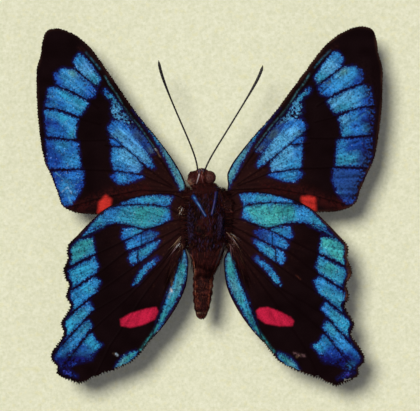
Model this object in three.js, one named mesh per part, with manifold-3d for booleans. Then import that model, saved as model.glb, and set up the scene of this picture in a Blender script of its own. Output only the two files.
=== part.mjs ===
// Framed butterfly specimen: a metalmark butterfly pinned underside up on a cream board,
// which sits in the rebate of a plain wooden frame with mitred corners.
// Millimetres, +Z up. The frame lies on its back, and +Y is its top edge.

import * as THREE from 'three';
import { mergeVertices } from 'three/addons/utils/BufferGeometryUtils.js';
import Module from 'manifold-3d';

const wasm = await Module();
wasm.setup();

// Wooden frame
const FRAME_SIZE = 80;
const FRAME_DEPTH = 15.5;
const RAIL_WIDTH = 10;
const REBATE_WIDTH = 3;
const OUTER_EDGE_RADIUS = 2.5;
const SIGHT_EDGE_RADIUS = 1.5;
const MITRE_GAP = 0.2;
const ARC_STEPS = 6;

// Sheets in the rebate
const BACK_RECESS = 0.5;
const BACK_PANEL_THICKNESS = 2;
const BOARD_THICKNESS = 4;
const SHEET_CLEARANCE = 0.3;
const SHEET_SIZE = FRAME_SIZE - 2 * (RAIL_WIDTH - REBATE_WIDTH + SHEET_CLEARANCE);
const BOARD_BACK = BACK_RECESS + BACK_PANEL_THICKNESS;
const BOARD_FACE = BOARD_BACK + BOARD_THICKNESS;

// Pin through the thorax into the board
const PIN_RADIUS = 0.22;
const PIN_HOLE_RADIUS = 0.4;
const PIN_PLACE = new THREE.Vector2(-0.72, -2.6);
const PIN_DEPTH_IN_BOARD = 3;
const PIN_SHOWING = 0.15;
const PIN_SIDES = 10;

// Heights of the insect over the board
const BODY_HEIGHT = BOARD_FACE + 4.1;
const WING_THICKNESS = 0.25;
const FOREWING_UNDERSIDE = BODY_HEIGHT - 0.4;
const HINDWING_UNDERSIDE = FOREWING_UNDERSIDE + WING_THICKNESS + 0.3;
const WING_RISE_PER_MM = 0.03;
const WING_DROOP = 0.0016;

// Wings, as millimetres outward from the middle line and towards the frame's top edge
const FOREWING_OUTLINE = [
  [2.3, 2.05], [2.8, 3.45], [4.95, 6.8], [7.6, 10.1], [10.35, 14.05], [12.65, 17.25],
  [14.5, 18.85], [16.5, 19.55], [17.7, 19.2], [18.15, 18.1], [18.35, 16.55], [18.75, 15.1],
  [18.8, 12.7], [18.7, 10.3], [18.35, 7.2], [17.9, 4.8], [17.05, 2.9], [16.5, 1.4],
  [15.95, -0.05], [14.65, -0.8], [12.3, -1.05], [8.5, -1.05], [2.35, -0.2],
];
const FOREWING_HUB = [12.5, 7.5];
const FOREWING_STEPS_PER_POINT = 3;
const RIGHT_FOREWING_STRETCH = 1.07;
const RIGHT_FOREWING_SHIFT = [-0.74, 0.22];

const HINDWING_OUTLINE = [
  [2.45, 0.3], [3.85, 1.15], [6.5, 1.1], [9, 0.55], [11.2, -0.5], [12.65, -1.75],
  [14.2, -3.35], [15.25, -4.35], [15.4, -5.1], [15.35, -5.9], [15.8, -7.1], [15.6, -8],
  [15.2, -8.7], [15.45, -9.6], [15.45, -10.3], [15.05, -10.9], [15.6, -11.95], [16.05, -12.9],
  [15.75, -13.9], [16.4, -15], [17.1, -16.2], [17.05, -17], [16.5, -17.55], [16.55, -18.2],
  [15.75, -18.9], [14.85, -19.3], [14.1, -19.6], [13.1, -19.25], [12.2, -18.8], [10.65, -18.25],
  [9.35, -17.75], [8.15, -17.1], [7.15, -16.1], [6.4, -15.05], [5.35, -13.85], [4.4, -12.6],
  [3.6, -11.4], [2.9, -10.1], [2.35, -8.65], [2.15, -7.1], [2.15, -5.8], [2.45, -4.8],
  [2.48, -3.4],
];
const HINDWING_HUB = [9.5, -8.5];
const HINDWING_STEPS_PER_POINT = 2;
const LEFT_HINDWING_SCALE = 1.012;
const RIGHT_HINDWING_SCALE = 1.035;
const HINDWING_ROOT = 2.36;
const HINDWING_ROOT_END = -5;
const WING_RINGS = 3;

// Thorax sections from the neck to the waist: place along Y, half width, half height
const THORAX_MIDDLE = 0;
const THORAX_SECTIONS = [
  [2.05, 1.45, 1.2], [1.2, 1.95, 1.8], [-0.4, 2.22, 2.2], [-2.4, 2.25, 2.3], [-4.3, 2.12, 2.1],
  [-5.6, 1.7, 1.6], [-6.6, 1.28, 1.2],
];
const THORAX_RINGS = 14;
const BODY_SIDES = 20;

// Abdomen
const ABDOMEN_FRONT = -6.75;
const ABDOMEN_TIP = -12.45;
const ABDOMEN_HALF_WIDTH = 1.18;
const ABDOMEN_HALF_HEIGHT = 1.05;
const ABDOMEN_FRONT_MIDDLE = -0.33;
const ABDOMEN_TIP_MIDDLE = -0.62;
const ABDOMEN_SEGMENTS = 7;
const ABDOMEN_GROOVE = 0.07;
const ABDOMEN_TAPER_POWER = 3;
const ABDOMEN_TIP_CUT = 0.97;

// Head with its eyes and palps
const HEAD_CENTRE = new THREE.Vector3(-0.58, 3.12, BODY_HEIGHT + 0.2);
const HEAD_HALF_SIZE = new THREE.Vector3(1.05, 1.0, 1.0);
const EYE_RADIUS = 0.72;
const EYE_OFFSET = new THREE.Vector3(0.85, -0.02, 0.15);
const PALP_RADIUS = 0.17;
const PALP_SPREAD = 0.28;

// Antennae, as points seen from the front, from the base to the tip of the club
const ANTENNA_SIDES = 8;
const ANTENNA_STEPS = 24;
const ANTENNA_SHAFT_RADIUS = 0.08;
const ANTENNA_CLUB_RADIUS = 0.15;
const ANTENNA_CLUB_SHARE = 0.2;
const ANTENNA_BASE_HEIGHT = BODY_HEIGHT + 0.3;
const ANTENNA_TIP_RISE = 0.6;
const ANTENNA_LEFT = [
  [-1.01, 4.1], [-1.87, 6.9], [-3.2, 9.8], [-4.5, 13.15], [-5.1, 14.7], [-5.28, 15.9],
];
const ANTENNA_RIGHT = [
  [-0.16, 4.1], [0.42, 5.25], [1.8, 7.6], [3.3, 9.95], [4.3, 11.7], [5.6, 13.9], [6.12, 15.35],
];

// Folded legs on the thorax: where each starts and ends, seen from the front
const LEG_BASE_RADIUS = 0.3;
const LEG_END_RADIUS = 0.17;
const LEG_SIDES = 8;
const LEG_STEPS = 8;
const LEG_SINK = 0.08;
const LEGS = [
  [[-1.4, 1.0], [0.05, -1.5]],
  [[1.0, 1.5], [0.52, -1.1]],
  [[-1.75, -1.2], [-1.35, -3.8]],
  [[1.6, -1.2], [1.25, -3.6]],
  [[-1.55, -4.0], [-0.95, -6.3]],
  [[1.5, -4.0], [0.7, -6.3]],
];

// Helpers for closed shapes

function closedGeometry(vertices, triangles) {
  const geometry = new THREE.BufferGeometry();
  geometry.setAttribute('position', new THREE.Float32BufferAttribute(vertices.flat(), 3));
  const signedVolume = triangles.reduce((sum, corners) => {
    const [a, b, c] = corners.map((corner) => new THREE.Vector3(...vertices[corner]));
    return sum + a.dot(b.cross(c));
  }, 0);
  const outward = signedVolume > 0 ? triangles : triangles.map(([a, b, c]) => [a, c, b]);
  geometry.setIndex(outward.flat());
  return geometry;
}

// Skins a row of rings that have the same number of points, and closes both ends.
function loft(rings) {
  const sides = rings[0].length;
  const vertices = rings.flat().map((point) => point.toArray());
  const triangles = [];
  for (let ring = 0; ring + 1 < rings.length; ring += 1) {
    for (let side = 0; side < sides; side += 1) {
      const next = (side + 1) % sides;
      const [a, b] = [ring * sides + side, ring * sides + next];
      triangles.push([a, b, b + sides], [a, b + sides, a + sides]);
    }
  }
  for (const [ring, flipped] of [[0, true], [rings.length - 1, false]]) {
    const middle = rings[ring].reduce((sum, point) => sum.add(point), new THREE.Vector3());
    vertices.push(middle.divideScalar(sides).toArray());
    for (let side = 0; side < sides; side += 1) {
      const pair = [ring * sides + side, ring * sides + ((side + 1) % sides)];
      triangles.push([...(flipped ? pair.reverse() : pair), vertices.length - 1]);
    }
  }
  return closedGeometry(vertices, triangles);
}

// An upright ellipse across the body at one place along Y.
function bodyRing(middle, y, halfWidth, halfHeight) {
  return Array.from({ length: BODY_SIDES }, (_, side) => {
    const angle = (2 * Math.PI * side) / BODY_SIDES;
    return new THREE.Vector3(
      middle + halfWidth * Math.cos(angle), y, BODY_HEIGHT + halfHeight * Math.sin(angle));
  });
}

// A round bar along a curve whose radius changes with the share of its length.
function taperedBar(curve, steps, sides, radiusAt) {
  const frames = curve.computeFrenetFrames(steps);
  const rings = Array.from({ length: steps + 1 }, (_, step) => {
    const centre = curve.getPointAt(step / steps);
    const radius = radiusAt(step / steps);
    return Array.from({ length: sides }, (_unused, side) => {
      const angle = (2 * Math.PI * side) / sides;
      return centre.clone()
        .addScaledVector(frames.normals[step], radius * Math.cos(angle))
        .addScaledVector(frames.binormals[step], radius * Math.sin(angle));
    });
  });
  return loft(rings);
}

function toSolid(geometry) {
  const bare = geometry.clone();
  bare.deleteAttribute('normal');
  bare.deleteAttribute('uv');
  const merged = mergeVertices(bare);
  return new wasm.Manifold(new wasm.Mesh({
    numProp: 3,
    vertProperties: new Float32Array(merged.attributes.position.array),
    triVerts: new Uint32Array(merged.index.array),
  }));
}

function toGeometry(solid) {
  const mesh = solid.getMesh();
  const geometry = new THREE.BufferGeometry();
  geometry.setAttribute('position', new THREE.Float32BufferAttribute(mesh.vertProperties, 3));
  geometry.setIndex(new THREE.Uint32BufferAttribute(mesh.triVerts, 1));
  return geometry;
}

function fuse(geometries) {
  return toGeometry(geometries.map(toSolid).reduce((whole, solid) => whole.add(solid)));
}

function cut(geometry, tool) {
  return toGeometry(toSolid(geometry).subtract(toSolid(tool)));
}

function uprightCylinder(radius, bottom, top) {
  const geometry = new THREE.CylinderGeometry(radius, radius, top - bottom, PIN_SIDES);
  geometry.rotateX(Math.PI / 2);
  return geometry.translate(PIN_PLACE.x, PIN_PLACE.y, (bottom + top) / 2);
}

// Wooden frame

function railSection() {
  const section = new THREE.Shape();
  section.moveTo(0, 0);
  section.lineTo(RAIL_WIDTH - REBATE_WIDTH, 0);
  section.lineTo(RAIL_WIDTH - REBATE_WIDTH, BOARD_FACE);
  section.lineTo(RAIL_WIDTH, BOARD_FACE);
  section.absarc(
    RAIL_WIDTH - SIGHT_EDGE_RADIUS, FRAME_DEPTH - SIGHT_EDGE_RADIUS, SIGHT_EDGE_RADIUS,
    0, Math.PI / 2);
  section.absarc(
    OUTER_EDGE_RADIUS, FRAME_DEPTH - OUTER_EDGE_RADIUS, OUTER_EDGE_RADIUS,
    Math.PI / 2, Math.PI);
  return section;
}

// The bottom rail. Each end slides in by its distance from the outer face, which makes the mitre.
function railGeometry() {
  const geometry = new THREE.ExtrudeGeometry(railSection(), {
    depth: 1, steps: 1, bevelEnabled: false, curveSegments: ARC_STEPS,
  });
  const place = geometry.attributes.position;
  for (let i = 0; i < place.count; i += 1) {
    const inward = place.getX(i);
    const end = place.getZ(i) > 0 ? 1 : -1;
    place.setXYZ(
      i, end * (FRAME_SIZE / 2 - inward - MITRE_GAP / 2), inward - FRAME_SIZE / 2, place.getY(i));
  }
  return geometry;
}

function boardGeometry() {
  const board = new THREE.BoxGeometry(SHEET_SIZE, SHEET_SIZE, BOARD_THICKNESS);
  board.translate(0, 0, BOARD_BACK + BOARD_THICKNESS / 2);
  return cut(board, uprightCylinder(PIN_HOLE_RADIUS, BOARD_FACE - PIN_DEPTH_IN_BOARD, FRAME_DEPTH));
}

function backPanelGeometry() {
  const panel = new THREE.BoxGeometry(SHEET_SIZE, SHEET_SIZE, BACK_PANEL_THICKNESS);
  return panel.translate(0, 0, BACK_RECESS + BACK_PANEL_THICKNESS / 2);
}

// Wings

// How far the wing stands over its root: it rises outward and droops towards its margin.
function wingLift(outward, upward, [hubOutward, hubUpward]) {
  const fromHub = (outward - hubOutward) ** 2 + (upward - hubUpward) ** 2;
  return WING_RISE_PER_MM * outward - WING_DROOP * fromHub;
}

// A thin cambered plate: rings shrink from the outline to the hub, on both faces.
function wingGeometry(outline, hub, stepsPerPoint, underside, side) {
  const rim = new THREE.CatmullRomCurve3(
    outline.map(([outward, upward]) => new THREE.Vector3(outward, upward, 0)), true);
  const points = rim.getPoints(outline.length * stepsPerPoint).slice(0, -1);
  const count = points.length;
  const vertices = [];
  const addVertex = (outward, upward, height) => {
    const lift = wingLift(outward, upward, hub);
    vertices.push([side * outward, upward, underside + lift + height]);
  };
  for (const height of [0, WING_THICKNESS]) {
    addVertex(...hub, height);
    for (let ring = 1; ring <= WING_RINGS; ring += 1) {
      for (const point of points) {
        const share = ring / WING_RINGS;
        addVertex(
          hub[0] + share * (point.x - hub[0]), hub[1] + share * (point.y - hub[1]), height);
      }
    }
  }
  const perFace = 1 + WING_RINGS * count;
  const triangles = [];
  for (let i = 0; i < count; i += 1) {
    const next = (i + 1) % count;
    const under = (ring, step) => 1 + (ring - 1) * count + step;
    const over = (ring, step) => perFace + under(ring, step);
    triangles.push([0, under(1, next), under(1, i)]);
    triangles.push([perFace, over(1, i), over(1, next)]);
    for (let ring = 1; ring < WING_RINGS; ring += 1) {
      triangles.push([under(ring, i), under(ring, next), under(ring + 1, next)]);
      triangles.push([under(ring, i), under(ring + 1, next), under(ring + 1, i)]);
      triangles.push([over(ring, i), over(ring + 1, next), over(ring, next)]);
      triangles.push([over(ring, i), over(ring + 1, i), over(ring + 1, next)]);
    }
    triangles.push([under(WING_RINGS, i), under(WING_RINGS, next), over(WING_RINGS, next)]);
    triangles.push([under(WING_RINGS, i), over(WING_RINGS, next), over(WING_RINGS, i)]);
  }
  return closedGeometry(vertices, triangles);
}

// The right forewing is set a little wider than the left, and its root stays clear of the thorax.
function rightForewingOutline() {
  const root = FOREWING_OUTLINE[0][0];
  return FOREWING_OUTLINE.map(([outward, upward]) => [
    Math.max(root, outward * RIGHT_FOREWING_STRETCH + RIGHT_FOREWING_SHIFT[0]),
    upward + RIGHT_FOREWING_SHIFT[1],
  ]);
}

function forewingGeometry(side) {
  const outline = side < 0 ? FOREWING_OUTLINE : rightForewingOutline();
  return wingGeometry(outline, FOREWING_HUB, FOREWING_STEPS_PER_POINT, FOREWING_UNDERSIDE, side);
}

// The two hindwings differ a little in size, and their roots stay clear of the thorax.
function hindwingOutline(side) {
  const scale = side < 0 ? LEFT_HINDWING_SCALE : RIGHT_HINDWING_SCALE;
  return HINDWING_OUTLINE.map(([outward, upward]) => {
    const across = HINDWING_HUB[0] + (outward - HINDWING_HUB[0]) * scale;
    const along = HINDWING_HUB[1] + (upward - HINDWING_HUB[1]) * scale;
    return [along > HINDWING_ROOT_END ? Math.max(HINDWING_ROOT, across) : across, along];
  });
}

function hindwingGeometry(side) {
  return wingGeometry(
    hindwingOutline(side), HINDWING_HUB, HINDWING_STEPS_PER_POINT, HINDWING_UNDERSIDE, side);
}

// Body

// Half width and half height of the thorax at a share of its length, from a smooth curve.
const thoraxCurve = new THREE.CatmullRomCurve3(
  THORAX_SECTIONS.map(([y, halfWidth, halfHeight]) => new THREE.Vector3(halfWidth, y, halfHeight)));

function thoraxTopAt(x, y) {
  const front = THORAX_SECTIONS[0][0];
  const back = THORAX_SECTIONS.at(-1)[0];
  const section = thoraxCurve.getPoint((front - y) / (front - back));
  const across = Math.min(1, Math.abs(x - THORAX_MIDDLE) / section.x);
  return BODY_HEIGHT + section.z * Math.sqrt(1 - across ** 2);
}

function legGeometry([start, end]) {
  const points = Array.from({ length: LEG_STEPS + 1 }, (_, step) => {
    const x = THREE.MathUtils.lerp(start[0], end[0], step / LEG_STEPS);
    const y = THREE.MathUtils.lerp(start[1], end[1], step / LEG_STEPS);
    return new THREE.Vector3(x, y, thoraxTopAt(x, y) - LEG_SINK);
  });
  return taperedBar(new THREE.CatmullRomCurve3(points), LEG_STEPS, LEG_SIDES, (share) => {
    return THREE.MathUtils.lerp(LEG_BASE_RADIUS, LEG_END_RADIUS, share);
  });
}

function thoraxGeometry() {
  const rings = Array.from({ length: THORAX_RINGS + 1 }, (_, ring) => {
    const section = thoraxCurve.getPoint(ring / THORAX_RINGS);
    return bodyRing(THORAX_MIDDLE, section.y, section.x, section.z);
  });
  const withLegs = fuse([loft(rings), ...LEGS.map(legGeometry)]);
  return cut(withLegs, uprightCylinder(PIN_HOLE_RADIUS, BOARD_FACE, FRAME_DEPTH));
}

function abdomenGeometry() {
  const ringCount = 2 * ABDOMEN_SEGMENTS;
  const rings = Array.from({ length: ringCount + 1 }, (_, ring) => {
    const share = ring / ringCount;
    const taper = Math.sqrt(1 - (share * ABDOMEN_TIP_CUT) ** ABDOMEN_TAPER_POWER);
    const swell = ring % 2 === 0 ? 1 - ABDOMEN_GROOVE : 1;
    return bodyRing(
      THREE.MathUtils.lerp(ABDOMEN_FRONT_MIDDLE, ABDOMEN_TIP_MIDDLE, share),
      THREE.MathUtils.lerp(ABDOMEN_FRONT, ABDOMEN_TIP, share),
      ABDOMEN_HALF_WIDTH * taper * swell, ABDOMEN_HALF_HEIGHT * taper * swell);
  });
  return loft(rings);
}

function eyeGeometry(side) {
  const eye = new THREE.SphereGeometry(EYE_RADIUS, 16, 12);
  return eye.translate(
    HEAD_CENTRE.x + side * EYE_OFFSET.x, HEAD_CENTRE.y + EYE_OFFSET.y,
    HEAD_CENTRE.z + EYE_OFFSET.z);
}

// A palp curls up the front of the face from the mouth.
function palpGeometry(side) {
  const curve = new THREE.CatmullRomCurve3([
    new THREE.Vector3(side * PALP_SPREAD, -0.45 * HEAD_HALF_SIZE.y, 0.8 * HEAD_HALF_SIZE.z),
    new THREE.Vector3(side * PALP_SPREAD * 0.7, 0.15 * HEAD_HALF_SIZE.y, 1.05 * HEAD_HALF_SIZE.z),
    new THREE.Vector3(side * PALP_SPREAD * 0.4, 0.85 * HEAD_HALF_SIZE.y, 0.75 * HEAD_HALF_SIZE.z),
  ]);
  const palp = taperedBar(curve, 6, 8, (share) => PALP_RADIUS * (1 - share / 2));
  return palp.translate(...HEAD_CENTRE);
}

function headGeometry() {
  const skull = new THREE.SphereGeometry(1, 18, 12);
  skull.scale(...HEAD_HALF_SIZE);
  skull.translate(...HEAD_CENTRE);
  return fuse([skull, eyeGeometry(-1), eyeGeometry(1), palpGeometry(-1), palpGeometry(1)]);
}

function antennaGeometry(points) {
  const last = points.length - 1;
  const curve = new THREE.CatmullRomCurve3(points.map(([x, y], i) => {
    return new THREE.Vector3(x, y, ANTENNA_BASE_HEIGHT + (ANTENNA_TIP_RISE * i) / last);
  }));
  return taperedBar(curve, ANTENNA_STEPS, ANTENNA_SIDES, (share) => {
    const club = Math.max(0, (share - 1 + ANTENNA_CLUB_SHARE) / ANTENNA_CLUB_SHARE);
    const swelling = Math.sin(Math.PI * Math.min(club, 0.9));
    return THREE.MathUtils.lerp(ANTENNA_SHAFT_RADIUS, ANTENNA_CLUB_RADIUS, swelling);
  });
}

function pinGeometry() {
  const top = thoraxTopAt(PIN_PLACE.x, PIN_PLACE.y) + PIN_SHOWING;
  return uprightCylinder(PIN_RADIUS, BOARD_FACE - PIN_DEPTH_IN_BOARD + PIN_SHOWING, top);
}

// Materials

const finish = (color, roughness, metalness = 0) => {
  return new THREE.MeshStandardMaterial({ color, roughness, metalness });
};
const MATERIALS = {
  wood: finish(0x4a2e1c, 0.55),
  hardboard: finish(0x7a5a3c, 0.85),
  paper: finish(0xe2e1c1, 0.95),
  steel: finish(0xb9a878, 0.35, 1),
  fur: finish(0x2b1410, 0.8),
  feeler: finish(0x15100d, 0.6),
  scales: finish(0x1d4f86, 0.4, 0.2),
};

// Assembly

const specimen = new THREE.Group();

function addPiece(name, geometry, material) {
  const piece = new THREE.Mesh(geometry, material.clone());
  piece.name = name;
  specimen.add(piece);
  return piece;
}

['rail_bottom', 'rail_right', 'rail_top', 'rail_left'].forEach((name, turn) => {
  addPiece(name, railGeometry(), MATERIALS.wood).rotation.z = (turn * Math.PI) / 2;
});
addPiece('back_panel', backPanelGeometry(), MATERIALS.hardboard);
addPiece('mounting_board', boardGeometry(), MATERIALS.paper);
addPiece('pin', pinGeometry(), MATERIALS.steel);
addPiece('thorax', thoraxGeometry(), MATERIALS.fur);
addPiece('abdomen', abdomenGeometry(), MATERIALS.fur);
addPiece('head', headGeometry(), MATERIALS.fur);
addPiece('antenna_left', antennaGeometry(ANTENNA_LEFT), MATERIALS.feeler);
addPiece('antenna_right', antennaGeometry(ANTENNA_RIGHT), MATERIALS.feeler);
addPiece('forewing_left', forewingGeometry(-1), MATERIALS.scales);
addPiece('forewing_right', forewingGeometry(1), MATERIALS.scales);
addPiece('hindwing_left', hindwingGeometry(-1), MATERIALS.scales);
addPiece('hindwing_right', hindwingGeometry(1), MATERIALS.scales);

export default specimen;
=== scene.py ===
import math
from collections import namedtuple

import bpy
import numpy as np
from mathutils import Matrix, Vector
from mathutils.bvhtree import BVHTree


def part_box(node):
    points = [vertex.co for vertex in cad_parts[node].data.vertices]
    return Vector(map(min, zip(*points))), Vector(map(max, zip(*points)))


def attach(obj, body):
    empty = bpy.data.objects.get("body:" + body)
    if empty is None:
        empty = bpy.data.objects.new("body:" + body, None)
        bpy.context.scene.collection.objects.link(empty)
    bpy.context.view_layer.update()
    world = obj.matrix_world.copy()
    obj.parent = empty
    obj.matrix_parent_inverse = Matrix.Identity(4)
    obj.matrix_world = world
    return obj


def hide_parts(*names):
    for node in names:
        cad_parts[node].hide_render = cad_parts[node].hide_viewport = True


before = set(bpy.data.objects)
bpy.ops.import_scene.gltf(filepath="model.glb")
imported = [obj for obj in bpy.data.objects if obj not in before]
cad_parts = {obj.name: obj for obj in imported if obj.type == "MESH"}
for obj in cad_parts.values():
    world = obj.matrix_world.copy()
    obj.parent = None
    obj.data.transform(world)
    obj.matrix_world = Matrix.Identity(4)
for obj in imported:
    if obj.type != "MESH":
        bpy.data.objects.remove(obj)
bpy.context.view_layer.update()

# Units: lengths are in millimetres until a mesh is made, and markings are in photo pixels
MM = 0.001
PHOTO_WIDTH, PHOTO_HEIGHT = 420, 411
MM_PER_PIXEL = 0.11
MIDLINE_PIXEL = 207.0
MIDHEIGHT_PIXEL = PHOTO_HEIGHT / 2

# The wings differ a little in size from side to side, as the solids have it
RIGHT_FOREWING_STRETCH = 1.07
RIGHT_FOREWING_SHIFT = (-0.74, 0.22)
HINDWING_HUB = (9.5, -8.5)
LEFT_HINDWING_SCALE = 1.012
RIGHT_HINDWING_SCALE = 1.035


def linear(red, green, blue):
    """Screen colour from 0 to 255 as linear light."""
    shares = np.array([red, green, blue]) / 255
    return np.where(shares <= 0.04045, shares / 12.92, ((shares + 0.055) / 1.055) ** 2.4)


SCREEN_COLOURS = {
    "sky": (78, 150, 192),
    "azure": (46, 126, 180),
    "aqua": (44, 138, 174),
    "blue": (34, 100, 170),
    "cobalt": (26, 66, 146),
    "indigo": (20, 22, 88),
    "violet": (62, 46, 140),
    "teal": (46, 128, 158),
    "sea": (46, 128, 132),
    "verdigris": (74, 136, 146),
    "jade": (60, 154, 150),
    "slate": (58, 82, 100),
    "dusk": (34, 66, 120),
    "pale": (168, 194, 212),
    "white": (236, 232, 226),
    "crimson": (197, 31, 64),
    "scarlet": (198, 48, 40),
    "black": (13, 3, 4),
    "soot": (22, 9, 11),
    "maroon": (42, 18, 16),
    "wine": (54, 16, 15),
    "russet": (92, 42, 34),
    "rust": (140, 70, 48),
    "brown": (78, 48, 34),
    "plum": (60, 50, 84),
    "mauve": (130, 94, 96),
    "straw": (160, 128, 98),
}
PAINT = {name: linear(*colour) for name, colour in SCREEN_COLOURS.items()}

# Markings of the left wings: outline and tint places in photo pixels, share of scales, width of the edge
Patch = namedtuple("Patch", "outline tints density edge")


def patch(outline, tints, density=0.97, edge=2.4):
    return Patch(outline, tints, density, edge)


FOREWING_PATCHES = {
    "apical_cell": patch(
        [(74, 61), (79, 54), (83, 56), (91, 65), (99.5, 79), (97.6, 86), (92.5, 82.5), (76, 68.5)],
        [(78, 60, "azure"), (86, 68, "sky"), (96, 82, "teal")]),
    "second_cell": patch(
        [(55, 74), (63, 68.5), (74, 70.4), (86, 80.6), (96, 89.5), (94, 96), (87, 98), (71, 89.5),
         (57, 84)],
        [(57, 75, "cobalt"), (64, 74, "azure"), (73, 73, "verdigris"), (68, 80, "azure"), (61, 83, "cobalt"),
         (78, 87, "azure"), (92, 93, "blue")]),
    "third_cell": patch(
        [(49, 89), (57, 87.6), (85, 101), (88, 103.5), (81, 115), (68, 111.5), (57, 108), (46, 106)],
        [(52, 91, "azure"), (66, 95, "aqua"), (80, 103, "aqua"), (60, 103, "blue"), (72, 108, "azure"),
         (49, 100, "cobalt")]),
    "fourth_cell": patch(
        [(45, 111.5), (55, 110.7), (77.4, 119.5), (76, 125), (74.5, 138.5), (47.6, 135.5)],
        [(50, 112, "azure"), (64, 117, "aqua"), (72, 124, "azure"), (47, 124, "indigo"), (55, 126, "cobalt"),
         (62, 133, "blue"), (74, 134, "teal")]),
    "fifth_cell": patch(
        [(47, 140), (78, 142.5), (79.7, 161), (80, 167.5), (49, 168)],
        [(48, 150, "cobalt"), (62, 145, "azure"), (56, 160, "cobalt"), (70, 164, "azure"),
         (76, 150, "blue")]),
    "sixth_cell": patch(
        [(53, 172.7), (82.8, 171), (82.8, 182.6), (79, 193), (71, 205), (63, 205), (59, 192)],
        [(58, 180, "cobalt"), (75, 176, "blue"), (68, 190, "azure"), (66, 202, "blue"),
         (80, 185, "cobalt")]),
    "discal_cell": patch(
        [(108, 129), (112.4, 121.5), (123, 120.7), (136.4, 137), (151, 160.5), (154, 168),
         (148, 166), (127, 148), (110.7, 135)],
        [(111, 127, "blue"), (120, 134, "sky"), (124, 126, "blue"), (132, 146, "sky"), (146, 160, "sky"),
         (152, 166, "azure")]),
    "vein_fork": patch(
        [(110, 140), (117.4, 139), (122, 145.6), (112.4, 144.7)], [(115, 142, "blue")], edge=0.8),
    "lower_cell": patch(
        [(112.4, 148), (125, 148), (136.4, 159), (142, 166), (140, 172.5), (114, 169.6),
         (112, 160.5)],
        [(114, 155, "azure"), (124, 156, "sky"), (134, 166, "sky"), (120, 166, "azure")]),
    "rear_cell": patch(
        [(111.6, 176), (117.4, 172), (143, 177), (130, 182), (118, 183.7)],
        [(113, 178, "cobalt"), (122, 177, "azure"), (138, 177, "blue")]),
    "costal_streak": patch(
        [(183, 190), (186, 187), (183, 178), (176, 165), (168, 153), (162, 144), (158, 144),
         (164, 155), (169.5, 166), (176, 180), (181, 190)],
        [(160, 146, "slate"), (167, 157, "verdigris"), (173, 167, "verdigris"), (182, 184, "verdigris")],
        edge=1.0),
    "costal_thread": patch(
        [(162, 144), (155, 133), (146, 121), (135, 108), (134, 110), (143, 122), (151, 133), (158, 144)],
        [(157, 140, "teal"), (148, 127, "teal")], density=0.8, edge=1.0),
    "apical_tail": patch(
        [(103, 90.5), (106, 90), (114, 97), (120, 105), (122, 112), (118, 107), (111, 100), (105, 95)],
        [(105, 92, "blue"), (110, 96, "teal"), (120, 108, "verdigris")], density=0.62, edge=1.6),
    "scattered_scales": patch(
        [(112, 104), (118, 103), (124, 112), (131, 120), (138, 128), (142, 137), (134, 133), (124, 124),
         (115, 120), (111, 114)],
        [(115, 110, "sky"), (124, 118, "sky"), (136, 130, "slate")], density=0.46, edge=1.8),
    "cell_shade": patch(
        [(128, 125), (139, 130), (148, 142), (155, 153), (150, 154), (141, 144), (133, 136)],
        [(131, 128, "dusk"), (140, 136, "slate"), (146, 144, "dusk"), (152, 151, "slate")],
        density=0.75, edge=2.6),
    "worn_scales": patch(
        [(79, 76), (86, 80.6), (96, 89.5), (92, 92), (84, 86)],
        [(82, 80, "soot"), (88, 86, "slate"), (93, 90, "soot")], density=0.5, edge=2),
    "red_spot": patch(
        [(98.5, 212.5), (99.8, 202.5), (105.7, 196), (111, 200), (110, 206), (105.5, 209.5)],
        [(105, 203, "scarlet")], edge=4.4),
}
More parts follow.
